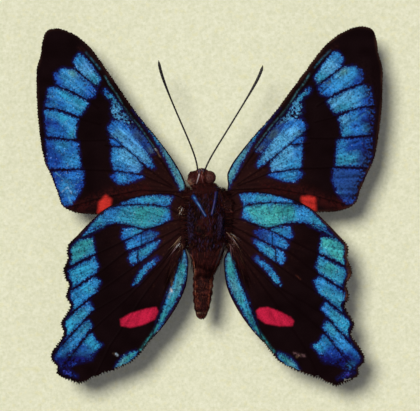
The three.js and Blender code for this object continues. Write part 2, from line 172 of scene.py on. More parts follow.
HINDWING_PATCHES = {
    "costal_strip": patch(
        [(122, 204.3), (138, 198), (162, 197), (171.8, 198), (168, 206.5), (155, 204.5),
         (140, 204), (123, 205)],
        [(130, 202, "azure"), (150, 200, "teal"), (165, 200, "azure")]),
    "costal_field": patch(
        [(98, 218.5), (104, 213.5), (110, 209.8), (123, 207.2), (140, 206.8), (155, 207.5),
         (168, 209.5), (170, 219.5), (160, 224), (150, 228.4), (142, 228.4), (129, 225),
         (120, 223.5), (113, 223), (104, 225), (94, 228.7), (84, 234)],
        [(160, 214, "sea"), (140, 216, "sea"), (125, 214, "teal"), (108, 216, "azure"),
         (98, 222, "teal"), (86, 232, "azure"), (166, 218, "azure")]),
    "costal_sliver": patch(
        [(106, 225.5), (104, 227), (88, 235), (82, 238), (88, 233.5)],
        [(95, 232, "teal")], density=0.8, edge=0.7),
    "first_cell": patch(
        [(72, 246), (80, 241), (93, 238.5), (95.5, 252.5), (84, 258), (72.5, 264)],
        [(80, 250, "sea"), (90, 245, "sea"), (93, 252, "teal")]),
    "second_cell": patch(
        [(70.6, 271), (95.5, 257.5), (98.7, 267), (96, 271.5), (73, 287)],
        [(75, 277, "aqua"), (85, 268, "aqua"), (95, 262, "azure")]),
    "third_cell": patch(
        [(72.5, 292.5), (95, 277), (100.6, 281), (97, 291), (87, 298.6), (72, 311)],
        [(76, 300, "aqua"), (88, 290, "aqua"), (97, 283, "azure")]),
    "fourth_cell": patch(
        [(65.5, 321), (89.7, 301.5), (93.6, 308), (80, 323), (65.5, 337)],
        [(70, 327, "aqua"), (82, 315, "teal"), (91, 305, "azure")]),
    "fifth_cell": patch(
        [(56.6, 353), (67, 341), (84.6, 322.5), (89.7, 320), (92, 325.7), (75, 347.5), (67, 353),
         (61, 367), (57, 360)],
        [(60, 350, "blue"), (72, 342, "azure"), (86, 324, "teal"), (60, 360, "indigo"),
         (67, 354, "indigo")]),
    "sixth_cell": patch(
        [(77.6, 348.7), (88, 336), (92.3, 333.4), (96, 340), (102, 343.5), (95, 350.6), (86, 355),
         (79.5, 354.4)],
        [(90, 338, "aqua"), (98, 344, "aqua"), (84, 349, "cobalt"), (88, 354, "indigo"),
         (80, 352, "indigo")]),
    "tail_patch": patch(
        [(64, 369.5), (70.6, 369.5), (78, 375), (67, 373)],
        [(66, 370, "violet"), (74, 373, "indigo")], density=0.6),
    "violet_zone": patch(
        [(61, 356), (75, 351), (95, 353), (92, 358), (78, 361), (67, 367), (59, 365)],
        [(65, 360, "indigo"), (85, 356, "indigo")], density=0.6, edge=3.5),
    "upper_base": patch(
        [(122, 237), (123.6, 229.5), (136, 229), (141.4, 231), (133, 236.5), (124, 240)],
        [(128, 233, "azure"), (138, 231, "teal"), (124, 239, "blue")]),
    "middle_base": patch(
        [(126.5, 247), (128, 242), (143, 233.5), (150, 231.5), (157.5, 234), (152, 240),
         (141.4, 245), (128, 249.5)],
        [(132, 244, "azure"), (141, 240, "blue"), (149, 236, "dusk"), (155, 234, "indigo")]),
    "lower_base": patch(
        [(138.8, 261), (138.3, 251), (149.5, 244.5), (159, 240.9), (155.7, 247), (146.8, 256)],
        [(145, 250, "teal"), (152, 245, "azure"), (158, 241, "dusk")]),
    "outer_base": patch(
        [(129, 259), (131.6, 253.5), (137, 250.7), (136.8, 261.4), (132.5, 264)],
        [(133, 258, "azure")]),
    "base_streak": patch(
        [(156.6, 257), (159, 259), (146, 272), (138, 283), (133.4, 284.6), (136, 278), (143, 267)],
        [(150, 263, "azure"), (138, 279, "aqua"), (156, 258, "indigo")], density=0.74, edge=1.8),
    "red_bar": patch(
        [(121, 319), (131, 313.2), (146, 308.8), (155.7, 307.3), (157, 310.5), (154, 318),
         (145, 322.5), (131.6, 326), (121.8, 324.5)],
        [(138, 317, "crimson")]),
    "inner_band": patch(
        [(181.6, 251.6), (185.5, 252.5), (186, 261), (185.6, 268), (183.8, 279.3), (178.9, 293.6),
         (170, 309), (162.9, 321), (156, 331), (154, 332), (156, 327.5), (161, 312),
         (166.4, 296), (173.6, 281), (177.1, 268.6)],
        [(184, 258, "verdigris"), (182, 272, "sea"), (178, 285, "verdigris"), (171, 300, "sea"),
         (162, 318, "sea"), (179, 266, "sea"), (173, 283, "teal"), (165, 299, "azure")], density=0.88),
    "tail_cell": patch(
        [(116, 366.5), (119, 361), (123, 356.5), (130, 352), (136, 350.3), (134.5, 354.4),
         (128, 361), (121.6, 366)],
        [(122, 361, "verdigris"), (130, 356, "sea")]),
}

# Cells that have other tints on the right wings, at the same left-wing places
RIGHT_FOREWING_TINTS = {
    "third_cell": [(84, 106, "sky"), (70, 98, "sky"), (58, 94, "azure"), (75, 109, "teal"),
                   (50, 100, "cobalt")],
    "fourth_cell": [(74, 120, "sky"), (64, 117, "azure"), (56, 116, "cobalt"), (72, 133, "teal"),
                    (62, 128, "blue"), (50, 125, "indigo")],
    "fifth_cell": [(76, 148, "azure"), (66, 150, "cobalt"), (56, 148, "cobalt"), (76, 162, "teal"),
                   (66, 162, "teal"), (56, 162, "dusk"), (54, 155, "indigo")],
    "sixth_cell": [(80, 180, "dusk"), (70, 180, "dusk"), (64, 190, "dusk"), (68, 202, "cobalt"),
                   (76, 196, "dusk")],
}
RIGHT_HINDWING_TINTS = {
    "costal_field": [(160, 214, "jade"), (140, 216, "jade"), (125, 214, "sea"), (112, 216, "azure"),
                     (95, 224, "teal"), (86, 232, "azure"), (166, 218, "azure")],
    "first_cell": [(80, 250, "jade"), (90, 245, "jade"), (93, 252, "teal")],
    "second_cell": [(75, 277, "teal"), (85, 268, "sea"), (95, 262, "teal")],
    "third_cell": [(76, 300, "teal"), (88, 290, "teal"), (97, 283, "azure")],
}
RIGHT_FOREWING_OUTLINES = {
    "red_spot": [(99.4, 213), (100.4, 200), (106, 198.6), (112.2, 199.6), (111.4, 207), (105.5, 209.8)],
}
RIGHT_HINDWING_OUTLINES = {
    "red_bar": [(155.8, 310), (152.8, 307.3), (145, 306.9), (134, 311.2), (124, 316.2), (121, 319.5),
                (122.2, 323.3), (133.5, 323.6), (147.6, 321.2), (154.4, 316.2)],
}

# Veins of the left wings, from the margin to the wing base
FOREWING_VEINS = [
    [(84.8, 54.4), (91.2, 61.5), (98, 70), (108, 86), (126, 110), (148, 140), (176, 184)],
    [(74, 68.5), (84.2, 76.8), (98.9, 87.6), (104, 92)],
    [(88.7, 89.5), (95, 96)],
    [(56.8, 86.3), (68.3, 90), (78.5, 95), (87.4, 100.4), (98, 108)],
    [(45.3, 108), (57.4, 109.3), (68.3, 113.1), (79.7, 118.5), (100, 124)],
    [(46.8, 137), (62, 138.5), (77.4, 140.4), (105, 140)],
    [(50.7, 170), (66, 169.6), (82.8, 169.2), (114, 170.6), (141.4, 174.6), (172, 188)],
    [(105, 131), (110.7, 134.8), (123, 146.4), (136.4, 157), (146.4, 168), (172, 186)],
    [(105, 145), (111.6, 146), (124, 146.8)],
    [(66, 208), (100, 198), (140, 190), (180, 192)],
]
HINDWING_VEINS = [
    [(112, 207.5), (123, 205.9), (140, 205.4), (155, 206), (165, 208), (178, 214)],
    [(81, 239), (104, 227), (120, 224.8), (133, 226.6), (143, 229.7), (156, 227.5), (169, 222),
     (182, 220)],
    [(71.3, 266.3), (95.5, 254.8), (125.4, 240.6), (143, 232), (165, 224)],
    [(72.5, 289.3), (99.3, 272.7), (127, 251), (142, 245.8), (159.3, 238.2), (180, 228)],
    [(70.6, 313.6), (96, 293.8), (138, 264), (161, 247), (181, 232)],
    [(55.3, 352.5), (93, 311), (131, 289), (149, 273.5), (161, 260.5), (182, 236)],
    [(60, 369), (75.7, 350.2), (92.3, 329.5), (125, 300), (160, 265), (183, 238)],
    [(95, 376), (110, 345), (140, 300), (168, 262), (184, 240)],
    [(141.5, 233), (141, 245)],
    [(138, 250), (137.8, 262)],
    [(140, 352), (152, 334), (160, 312), (172, 280), (180, 258), (184, 244)],
]

# Pale folds, rubbed marks and painted glints: line, tint, half width in pixels, strength
Streak = namedtuple("Streak", "line tint width strength")
FOREWING_STREAKS = [
    Streak([(48.5, 96.5), (66, 101.6), (84, 108)], "sky", 1.0, 0.7),
    Streak([(49, 113), (71, 127.5)], "sky", 0.8, 0.5),
    Streak([(58, 76), (72, 82), (88, 92)], "sky", 0.8, 0.35),
    Streak([(112, 127), (146, 160)], "cobalt", 0.6, 0.35),
    Streak([(47, 116), (54, 122), (62, 128)], "indigo", 1.6, 0.7),
    Streak([(54, 145), (56, 156), (57, 167)], "indigo", 1.4, 0.6),
    Streak([(62, 150), (70, 152), (76, 148)], "cobalt", 1.6, 0.5),
    Streak([(85.8, 52.4), (93, 60.4), (100, 69.4)], "teal", 0.8, 0.7),
    Streak([(105, 76), (109.4, 84.2), (116, 93), (122.8, 105.3), (131.7, 117.6), (139.4, 126.4),
            (147.2, 137.6), (155.6, 149.8)], "verdigris", 0.7, 0.45),
    Streak([(80, 48), (100, 64), (112, 79), (125, 96), (140, 113), (155, 132), (168, 151)],
           "maroon", 2.5, 0.6),
    Streak([(74, 208), (90, 203), (112, 194), (145, 190)], "wine", 6.0, 0.7),
]
LEFT_FOREWING_STREAKS = [
    # Painted highlight: a small white glint on the scales, trailing off in straw
    Streak([(154.8, 149), (156.4, 150.6)], "white", 0.6, 0.9),
    Streak([(157, 152), (160, 157)], "straw", 0.9, 0.3),
    Streak([(56, 172.5), (69, 185)], "sky", 0.6, 0.7),
    Streak([(60, 186), (67, 181), (74, 186), (79, 181)], "sky", 0.6, 0.6),
    Streak([(62, 192), (68, 187), (72, 194)], "pale", 0.5, 0.5),
    Streak([(67, 192), (71, 203)], "sky", 1.2, 0.8),
    Streak([(70, 178), (80, 176)], "sky", 0.6, 0.5),
    Streak([(60, 178), (66, 182), (72, 184)], "indigo", 1.0, 0.7),
    Streak([(72, 190), (78, 188)], "indigo", 1.2, 0.6),
    Streak([(60, 190), (63, 198)], "indigo", 1.0, 0.6),
]
RIGHT_FOREWING_STREAKS = [
    Streak([(56, 66), (48, 88), (45, 110), (46, 135), (49, 160), (55, 180), (62, 200)], "soot", 7.0, 1.0),
]
HINDWING_STREAKS = [
    Streak([(158, 324), (153, 332), (147, 340), (140, 349)], "sea", 1.3, 0.95),
    Streak([(114, 352), (117.5, 354)], "straw", 0.9, 0.3),
    Streak([(157.6, 330.4), (159.6, 331.8)], "white", 0.7, 0.7),
]
LEFT_HINDWING_STREAKS = [
    # Painted highlight: a small white glint on the scales
    Streak([(170.4, 288.6), (171, 292)], "white", 1.1, 1.0),
    Streak([(116.4, 352.6), (117.6, 354)], "pale", 0.8, 0.9),
    Streak([(172, 280), (168.5, 297)], "straw", 1.2, 0.35),
    Streak([(181, 246), (176, 262), (171, 282)], "straw", 0.9, 0.4),
]
RIGHT_HINDWING_STREAKS = [
    Streak([(70, 246), (68.5, 262), (66.5, 272), (69, 285), (70, 298)], "brown", 1.8, 0.9),
    Streak([(120, 350), (116, 352), (110, 353)], "mauve", 1.2, 0.45),
    Streak([(118, 275.5), (114.5, 279)], "rust", 0.6, 0.6),
]


# Numbers from arrays of points
COLUMN_STEP, ROW_STEP, STIR_STEP = np.array([374761393, 668265263, 1274126177], np.uint32)
SEED_STEP = 974634353
LATTICE_CENTRE = 4096


def smoothstep(low, high, value):
    share = np.clip((value - low) / (high - low), 0, 1)
    return share * share * (3 - 2 * share)


def mix(first, second, share):
    return first + (second - first) * np.asarray(share)[..., None]


def lattice_value(column, row, seed):
    """A fixed number from 0 to 1 for each whole-number place."""
    mixed = column * COLUMN_STEP + row * ROW_STEP + np.uint32(seed * SEED_STEP % 2 ** 32)
    mixed = (mixed ^ (mixed >> 13)) * STIR_STEP
    return ((mixed ^ (mixed >> 16)) & 0xFFFF) / 0xFFFF


def soft_noise(x, y, seed):
    """Smooth noise from 0 to 1 with about one lump per unit."""
    column, row = np.floor(x), np.floor(y)
    across, along = smoothstep(0, 1, x - column), smoothstep(0, 1, y - row)
    column, row = (np.asarray(place + LATTICE_CENTRE).astype(np.uint32) for place in (column, row))
    levels = []
    for level in (row, row + 1):
        left, right = lattice_value(column, level, seed), lattice_value(column + 1, level, seed)
        levels.append(left * (1 - across) + right * across)
    return levels[0] * (1 - along) + levels[1] * along


def nearest_on_line(points, line, closed=False):
    """The nearest place on a line of straight steps to each point, and how far it is."""
    line = np.asarray(line, float)
    ends = np.roll(line, -1, axis=0) if closed else line[1:]
    best = np.full(len(points), np.inf)
    place = np.zeros_like(points)
    for start, end in zip(line, ends):
        along = end - start
        share = np.clip((points - start) @ along / max(along @ along, 1e-12), 0, 1)
        foot = start + share[:, None] * along
        gap = ((points - foot) ** 2).sum(1)
        nearer = gap < best
        best = np.where(nearer, gap, best)
        place[nearer] = foot[nearer]
    return place, np.sqrt(best)


def is_inside(points, outline):
    outline = np.asarray(outline, float)
    inside = np.zeros(len(points), bool)
    for start, end in zip(outline, np.roll(outline, -1, axis=0)):
        rise = end[1] - start[1]
        if rise == 0:
            continue
        spans = (start[1] > points[:, 1]) != (end[1] > points[:, 1])
        crossing = start[0] + (points[:, 1] - start[1]) * (end[0] - start[0]) / rise
        inside ^= spans & (points[:, 0] < crossing)
    return inside


def depth_inside(points, outline):
    """How far each point lies inside a closed outline, and less than 0 outside it."""
    _, gap = nearest_on_line(points, outline, closed=True)
    return np.where(is_inside(points, outline), gap, -gap)


# The solids as arrays

def node_mesh(node):
    """A CAD node's vertices in millimetres, merged, and its triangles."""
    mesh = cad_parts[node].data
    mesh.calc_loop_triangles()
    places = np.zeros(len(mesh.vertices) * 3)
    mesh.vertices.foreach_get("co", places)
    corners = np.zeros(len(mesh.loop_triangles) * 3, np.int64)
    mesh.loop_triangles.foreach_get("vertices", corners)
    microns = np.round(places.reshape(-1, 3) / MM * 1000).astype(np.int64)
    merged, index = np.unique(microns, axis=0, return_inverse=True)
    return merged / 1000, index.reshape(-1)[corners].reshape(-1, 3)


def unit(vectors):
    """Vectors drawn out to a length of 1."""
    return vectors / np.maximum(np.linalg.norm(vectors, axis=1, keepdims=True), 1e-12)


def face_normals(points, triangles):
    first, second, third = (points[triangles[:, i]] for i in range(3))
    return unit(np.cross(second - first, third - first))


def vertex_normals(points, triangles):
    faces = face_normals(points, triangles)
    normals = np.zeros_like(points)
    for corner in range(3):
        np.add.at(normals, triangles[:, corner], faces)
    return unit(normals)


def triangle_edges(triangles):
    """The edges of all triangles, pointing the way each triangle goes round."""
    return np.concatenate([triangles[:, [0, 1]], triangles[:, [1, 2]], triangles[:, [2, 0]]])


def open_edges(triangles):
    """Edges that only one triangle has."""
    edges = triangle_edges(triangles)
    _, index, count = np.unique(np.sort(edges, axis=1), axis=0, return_index=True, return_counts=True)
    return edges[index[count == 1]]


def upper_face(node):
    """The vertices of a wing solid's upper face, and that face's outline in order, seen from above."""
    points, triangles = node_mesh(node)
    upper = triangles[face_normals(points, triangles)[:, 2] > 0.5]
    following = dict(open_edges(upper).tolist())
    start = next(iter(following))
    loop = [start]
    while following[loop[-1]] != start:
        loop.append(following[loop[-1]])
    return points[np.unique(upper)], points[loop][:, :2]


def rounded_loop(corners, steps):
    """A closed smooth curve through the corners, with some steps between each two."""
    before, after = np.roll(corners, 1, axis=0), np.roll(corners, -1, axis=0)
    beyond = np.roll(corners, -2, axis=0)
    points = []
    for share in np.arange(steps) / steps:
        square, cube = share ** 2, share ** 3
        points.append(0.5 * (2 * corners + (after - before) * share
                             + (2 * before - 5 * corners + 4 * after - beyond) * square
                             + (3 * corners - before - 3 * after + beyond) * cube))
    return np.stack(points, axis=1).reshape(-1, 2)


# Making pieces
HAIR_SIDES = 3
HAIR_POINTS = 2 * HAIR_SIDES + 1
HAIR_TAPER = 0.7
POLE_ANGLE = 0.02


def add_piece(name, points, triangles, material, slot, replaced=(), tones=None):
    """One mesh piece from arrays in millimetres, riding on the frame."""
    mesh = bpy.data.meshes.new(name)
    mesh.vertices.add(len(points))
    mesh.vertices.foreach_set("co", (np.asarray(points) * MM).ravel())
    mesh.loops.add(len(triangles) * 3)
    mesh.loops.foreach_set("vertex_index", np.asarray(triangles, np.int32).ravel())
    mesh.polygons.add(len(triangles))
    mesh.polygons.foreach_set("loop_start", np.arange(len(triangles), dtype=np.int32) * 3)
    mesh.update(calc_edges=True)
    mesh.shade_smooth()
    if tones is not None:
        layer = mesh.color_attributes.new("tone", "FLOAT_COLOR", "POINT")
        layer.data.foreach_set("color", np.hstack([tones, np.ones((len(tones), 1))]).ravel())
    mesh.materials.append(material)
    piece = bpy.data.objects.new(name, mesh)
    bpy.context.scene.collection.objects.link(piece)
    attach(piece, "root")
    if replaced:
        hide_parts(*replaced)
    return piece


def tube(points, radii, sides):
    """A closed round bar through points, with a radius at each."""
    points = np.asarray(points, float)
    ahead = unit(np.gradient(points, axis=0))
    across = unit(np.cross(ahead, (0, 0, 1)))
    upward = np.cross(across, ahead)
    angles = 2 * math.pi * np.arange(sides) / sides
    rings = (points[:, None] + np.asarray(radii)[:, None, None]
             * (np.cos(angles)[None, :, None] * across[:, None]
                + np.sin(angles)[None, :, None] * upward[:, None]))
    count = len(points)
    ring, side = np.meshgrid(np.arange(count - 1), np.arange(sides), indexing="ij")
    here = (ring * sides + side).ravel()
    beside = (ring * sides + (side + 1) % sides).ravel()
    skin = np.concatenate([
        np.stack([here, here + sides, beside + sides], 1), np.stack([here, beside + sides, beside], 1)])
    first, last = count * sides, count * sides + 1
    around = np.arange(sides)
    following = (around + 1) % sides
    caps = np.concatenate([
        np.stack([around, following, np.full(sides, first)], 1),
        np.stack([following + (count - 1) * sides, around + (count - 1) * sides, np.full(sides, last)], 1)])
    vertices = np.concatenate([rings.reshape(-1, 3), points[:1], points[-1:]])
    return vertices, np.concatenate([skin, caps])


def ball(centre, radius, rings, sides):
    """A closed round ball."""
    angles = np.linspace(POLE_ANGLE, math.pi - POLE_ANGLE, rings)
    line = np.array(centre) + np.column_stack([np.zeros(rings), -radius * np.cos(angles), np.zeros(rings)])
    return tube(line, radius * np.sin(angles), sides)


def side_wall(edges, count):
    """Faces between a sheet's open edges and those of its copy, which has its points count places later."""
    here, there = edges.T
    return np.concatenate([
        np.column_stack([here, there, there + count]), np.column_stack([here, there + count, here + count])])


def joined(parts):
    """Several (points, triangles) as one pair."""
    starts = np.cumsum([0] + [len(points) for points, _ in parts[:-1]])
    return (np.concatenate([points for points, _ in parts]),
            np.concatenate([triangles + start for start, (_, triangles) in zip(starts, parts)]))


def spikes(roots, middles, tips, widths):
    """Closed bent hairs, each with three sides: their points and triangles."""
    count = len(roots)
    ahead = unit(tips - roots)
    helper = np.where(np.abs(ahead[:, 2:]) < 0.9, [[0.0, 0.0, 1.0]], [[1.0, 0.0, 0.0]])
    across = unit(np.cross(ahead, helper))
    upward = np.cross(across, ahead)
    points = np.zeros((count, HAIR_POINTS, 3))
    pattern = [[0, 2, 1]]
    for side in range(HAIR_SIDES):
        angle = 2 * math.pi * side / HAIR_SIDES
        offset = (math.cos(angle) * across + math.sin(angle) * upward) * widths[:, None] / 2
        points[:, side] = roots + offset
        points[:, HAIR_SIDES + side] = middles + HAIR_TAPER * offset
        following = (side + 1) % HAIR_SIDES
        upper, upper_following = HAIR_SIDES + side, HAIR_SIDES + following
        pattern += [[side, following, upper_following], [side, upper_following, upper],
                    [upper, upper_following, HAIR_POINTS - 1]]
    points[:, HAIR_POINTS - 1] = tips
    triangles = (np.arange(count) * HAIR_POINTS)[:, None, None] + np.array(pattern)[None]
    return points.reshape(-1, 3), triangles.reshape(-1, 3)


def per_hair(tones):
    """Each hair's tone for all its points."""
    return np.repeat(tones, HAIR_POINTS, axis=0)


# Materials: ramp stops with screen colours, then with shares of light
PAPER_TINTS = [(0.3, (216, 216, 181)), (0.52, (227, 226, 194)), (0.72, (236, 235, 206))]
WOOD_TINTS = [(0.36, (38, 22, 14)), (0.5, (74, 44, 27)), (0.64, (104, 66, 40))]
HARDBOARD_TINTS = [(0.3, (92, 64, 42)), (0.5, (124, 90, 60)), (0.72, (150, 114, 80))]
PIN_TINTS = [(0.3, (34, 22, 20)), (0.6, (92, 70, 58))]
EYE_TINTS = [(0.1, (104, 58, 48)), (0.6, (52, 22, 19))]
STRAW_FLECKS = [(0.6, (1, 1, 1)), (0.7, (0.97, 0.955, 0.86))]
WOOD_PORES = [(0.36, (0.35, 0.35, 0.35)), (0.46, (1, 1, 1))]
FLOOR_LIGHTS = [(0.3, (0.72, 0.71, 0.69)), (0.7, (0.76, 0.75, 0.73))]
ROUGHNESS_SPREAD = 0.12
FACETS_PER_MM = 9.0


def new_material(name):
    material = bpy.data.materials.new(name)
    material.use_nodes = True
    tree = material.node_tree
    return material, tree, tree.nodes["Principled BSDF"]


def set_inputs(tree, node, inputs):
    """Link the inputs that come from other nodes, and set the plain ones."""
    for key, value in inputs.items():
        if hasattr(value, "is_output"):
            tree.links.new(value, node.inputs[key])
        else:
            node.inputs[key].default_value = value


def add_node(tree, kind, inputs, **settings):
    """The first output of a new node."""
    node = tree.nodes.new(kind)
    for key, value in settings.items():
        setattr(node, key, value)
    set_inputs(tree, node, inputs)
    return node.outputs[0]


def object_coordinates(tree, stretch=(1, 1, 1)):
    place = tree.nodes.new("ShaderNodeTexCoord").outputs["Object"]
    return add_node(tree, "ShaderNodeMapping", {"Vector": place, "Scale": stretch})


def noise(tree, vector, lumps_per_mm, detail=3.0, roughness=0.55):
    return add_node(tree, "ShaderNodeTexNoise", {
        "Vector": vector, "Scale": lumps_per_mm / MM, "Detail": detail, "Roughness": roughness})


def remapped(tree, value, low, high):
    """A 0 to 1 value as low to high."""
    return add_node(tree, "ShaderNodeMapRange", {"Value": value, "To Min": low, "To Max": high})


def ramp(tree, value, stops):
    """Shares of light between stops."""
    node = tree.nodes.new("ShaderNodeValToRGB")
    set_inputs(tree, node, {"Fac": value})
    elements = node.color_ramp.elements
    while len(elements) < len(stops):
        elements.new(0.5)
    for element, (place, tone) in zip(elements, stops):
        element.position = place
        element.color = (*tone, 1)
    return node.outputs[0]


def tint_ramp(tree, value, stops):
    """Screen colours between stops."""
    return ramp(tree, value, [(place, linear(*tone)) for place, tone in stops])


def scaled_colour(tree, colour, factor):
    return add_node(tree, "ShaderNodeVectorMath", {0: colour, "Scale": factor}, operation="SCALE")


def bumped(tree, height, strength, depth_mm):
    return add_node(tree, "ShaderNodeBump", {
        "Height": height, "Strength": strength, "Distance": depth_mm * MM})


def toned_material(name, roughness, specular, grain_per_mm, grain_range, bump_mm):
    """A surface whose colour comes from its points, broken up by fine grain."""
    material, tree, shader = new_material(name)
    grain = noise(tree, object_coordinates(tree), grain_per_mm, detail=2.0)
    tone = add_node(tree, "ShaderNodeVertexColor", {}, layer_name="tone")
    set_inputs(tree, shader, {
        "Base Color": scaled_colour(tree, tone, remapped(tree, grain, *grain_range)),
        "Roughness": remapped(tree, grain, roughness + ROUGHNESS_SPREAD, roughness - ROUGHNESS_SPREAD),
        "Specular IOR Level": specular, "Normal": bumped(tree, grain, 0.5, bump_mm)})
    return material


def paper_material():
    """Cream paper with a faint felt texture, soft mottling and a few straw flecks."""
    material, tree, shader = new_material("cream_paper")
    vector = object_coordinates(tree)
    felt = noise(tree, vector, 3.0)
    cloud = noise(tree, vector, 0.7, detail=2.0)
    flecks = ramp(tree, noise(tree, vector, 1.5, detail=1.0), STRAW_FLECKS)
    mottled = scaled_colour(tree, tint_ramp(tree, felt, PAPER_TINTS), remapped(tree, cloud, 0.97, 1.03))
    set_inputs(tree, shader, {
        "Base Color": add_node(tree, "ShaderNodeVectorMath", {0: mottled, 1: flecks}, operation="MULTIPLY"),
        "Roughness": 0.95, "Specular IOR Level": 0.1, "Normal": bumped(tree, felt, 0.35, 0.05)})
    return material


def wood_material(name, stretch):
    """Dark stained wood with grain along one axis."""
    material, tree, shader = new_material(name)
    vector = object_coordinates(tree, stretch)
    fine = noise(tree, vector, 1.6, detail=5.0, roughness=0.65)
    broad = noise(tree, vector, 0.28, detail=2.0)
    both = add_node(tree, "ShaderNodeMath", {0: fine, 1: broad}, operation="ADD")
    tint = tint_ramp(tree, remapped(tree, both, 0.0, 0.5), WOOD_TINTS)
    pores = ramp(tree, noise(tree, vector, 4.5, detail=1.0), WOOD_PORES)
    set_inputs(tree, shader, {
        "Base Color": scaled_colour(tree, tint, pores), "Roughness": remapped(tree, fine, 0.6, 0.36),
        "Normal": bumped(tree, pores, 0.35, 0.1)})
    return material


def hardboard_material():
    """Brown pressed board with flecks of fibre."""
    material, tree, shader = new_material("hardboard")
    fibre = noise(tree, object_coordinates(tree, (1, 0.35, 1)), 1.8, detail=5.0, roughness=0.7)
    set_inputs(tree, shader, {
        "Base Color": tint_ramp(tree, fibre, HARDBOARD_TINTS), "Roughness": 0.85,
        "Normal": bumped(tree, fibre, 0.4, 0.06)})
    return material


def pin_material():
    """Brass-toned steel, lightly tarnished."""
    material, tree, shader = new_material("pin_steel")
    tarnish = noise(tree, object_coordinates(tree), 4.0)
    set_inputs(tree, shader, {
        "Base Color": tint_ramp(tree, tarnish, PIN_TINTS), "Metallic": 1.0,
        "Roughness": remapped(tree, tarnish, 0.45, 0.25)})
    return material


def eye_material():
    """Brown compound eye with fine facets."""
    material, tree, shader = new_material("eye_facets")
    facets = add_node(tree, "ShaderNodeTexVoronoi", {
        "Vector": object_coordinates(tree), "Scale": FACETS_PER_MM / MM})
    set_inputs(tree, shader, {
        "Base Color": tint_ramp(tree, facets, EYE_TINTS), "Roughness": remapped(tree, facets, 0.5, 0.75),
        "Specular IOR Level": 0.15, "Normal": bumped(tree, facets, 0.6, 0.03)})
    return material


def floor_material():
    """Pale matt floor."""
    material, tree, shader = new_material("pale_floor")
    speck = noise(tree, object_coordinates(tree), 0.02)
    set_inputs(tree, shader, {"Base Color": ramp(tree, speck, FLOOR_LIGHTS), "Roughness": 0.9})
    return material


# Glue in the four mitres of the frame
GLUE_SHARE = 0.965


def add_mitre_glue(material):
    """Stained glue that fills each mitre, a little below the faces of the rails."""
    points, triangles = node_mesh("rail_bottom")
    cut = (points[:, 0] + points[:, 1]).max()
    on_cut = np.isclose(points[:, 0] + points[:, 1], cut, atol=0.01)
    used, cap = np.unique(triangles[on_cut[triangles].all(1)], return_inverse=True)
    cap = cap.reshape(-1, 3)
    middle = (points[used].min(0) + points[used].max(0)) / 2
    near = middle + (points[used] - middle) * GLUE_SHARE
    corner = np.concatenate([near, np.column_stack([-near[:, 1], -near[:, 0], near[:, 2]])])
    faces = np.concatenate([cap[:, ::-1], cap + len(used), side_wall(open_edges(cap), len(used))])
    parts = []
    for _ in range(4):
        parts.append((corner, faces))
        corner = np.column_stack([-corner[:, 1], corner[:, 0], corner[:, 2]])
    add_piece("mitre_glue", *joined(parts), material, "stained_wood")


# Wings: sizes in millimetres, and places and reaches on the left wings in photo pixels
FOREWING_BASE_PIXEL = (186.0, 190.0)
HINDWING_BASE_PIXEL = (186.0, 226.0)
RIM_STEPS = 4
WING_SPACING = 0.085
WING_SCATTER = 0.2
WING_THICKNESS = 0.14
VEIN_HEIGHT = 0.06
VEIN_WIDTH_PIXELS = 0.9
VEIN_SHADE_PIXELS = 0.65
PLEAT_HEIGHT = 0.05
PLEAT_REACH_PIXELS = (10, 90)
BASAL_REACH_PIXELS = (100, 10)
OUTER_REACH_PIXELS = (70, 120)
WORN_REACH_PIXELS = (60, 110)
WORN_RIM_PIXELS = (4.0, 0.5)
BLACK_RIM_PIXELS = (0.5, 1.8)
HALO_PIXELS = 3.2
RED_PAINTS = ("crimson", "scarlet")
PATCH_GROWTH = 0.7
PATCH_RAGGEDNESS = 0.7
RED_RAGGEDNESS = 0.25
# Dark rim of each wing in pixels, near the body and at the outer margin, and how brown it is worn
Rim = namedtuple("Rim", "near far wear")
RIMS = {
    "forewing_left": Rim(1.4, 2.4, 0.3),
    "forewing_right": Rim(1.6, 3.5, 0.6),
    "hindwing_left": Rim(1.4, 5.2, 0.3),
    "hindwing_right": Rim(1.4, 5.4, 0.6),
}
FOREWING_FRINGE = 0.13
HINDWING_FRINGE = 0.24
FRINGE_REACH_PIXELS = (30, 70)
HINDWING_FRINGE_X = (166, 140)
HINDWING_FRINGE_Y = (232, 252)
LONG_FRINGE_X = (64, 76)
LONG_FRINGE_Y = (352, 370)
LONG_FRINGE_EXTRA = 0.6
FRINGE_SPACING = 0.015
SHORTEST_FRINGE = 0.015
LONGEST_FRINGE = 0.62
FRINGE_ROOT = 0.1
RIM_PROBE = 0.02
FRINGE_DROPS = (WING_THICKNESS / 2, 0.05, 0.08)
FRINGE_WIDTHS = (0.04, 0.08)
TUFT_SPACING = 0.32
NOTCH_PIXEL = (70, 374)
NOTCH_RADIUS_PIXELS = 4.5
NOTCH_DEPTH = 0.35


def even_triangles(low, high):
    """Rows of even triangles over a rectangle."""
    row_step = WING_SPACING * math.sqrt(3) / 2
    columns = int((high[0] - low[0]) / WING_SPACING) + 2
    rows = int((high[1] - low[1]) / row_step) + 2
    row, column = np.meshgrid(np.arange(rows), np.arange(columns), indexing="ij")
    points = np.stack([
        low[0] + (column + 0.5 * (row % 2)) * WING_SPACING, low[1] + row * row_step], -1).reshape(-1, 2)
    here = (row * columns + column)[:-1, :-1]
    beside, above, across = here + 1, here + columns, here + columns + 1
    odd = (row[:-1, :-1] % 2 == 1)[..., None]
    lower = np.where(odd, np.stack([here, beside, across], -1), np.stack([here, beside, above], -1))
    upper = np.where(odd, np.stack([here, across, above], -1), np.stack([beside, across, above], -1))
    return points, np.concatenate([lower.reshape(-1, 3), upper.reshape(-1, 3)])


def without_pinches(triangles):
    """Triangles less those at points where the edge of the sheet meets itself."""
    while True:
        pinched = np.flatnonzero(np.bincount(open_edges(triangles).ravel()) > 2)
        if len(pinched) == 0:
            return triangles
        triangles = triangles[~np.isin(triangles, pinched).any(1)]


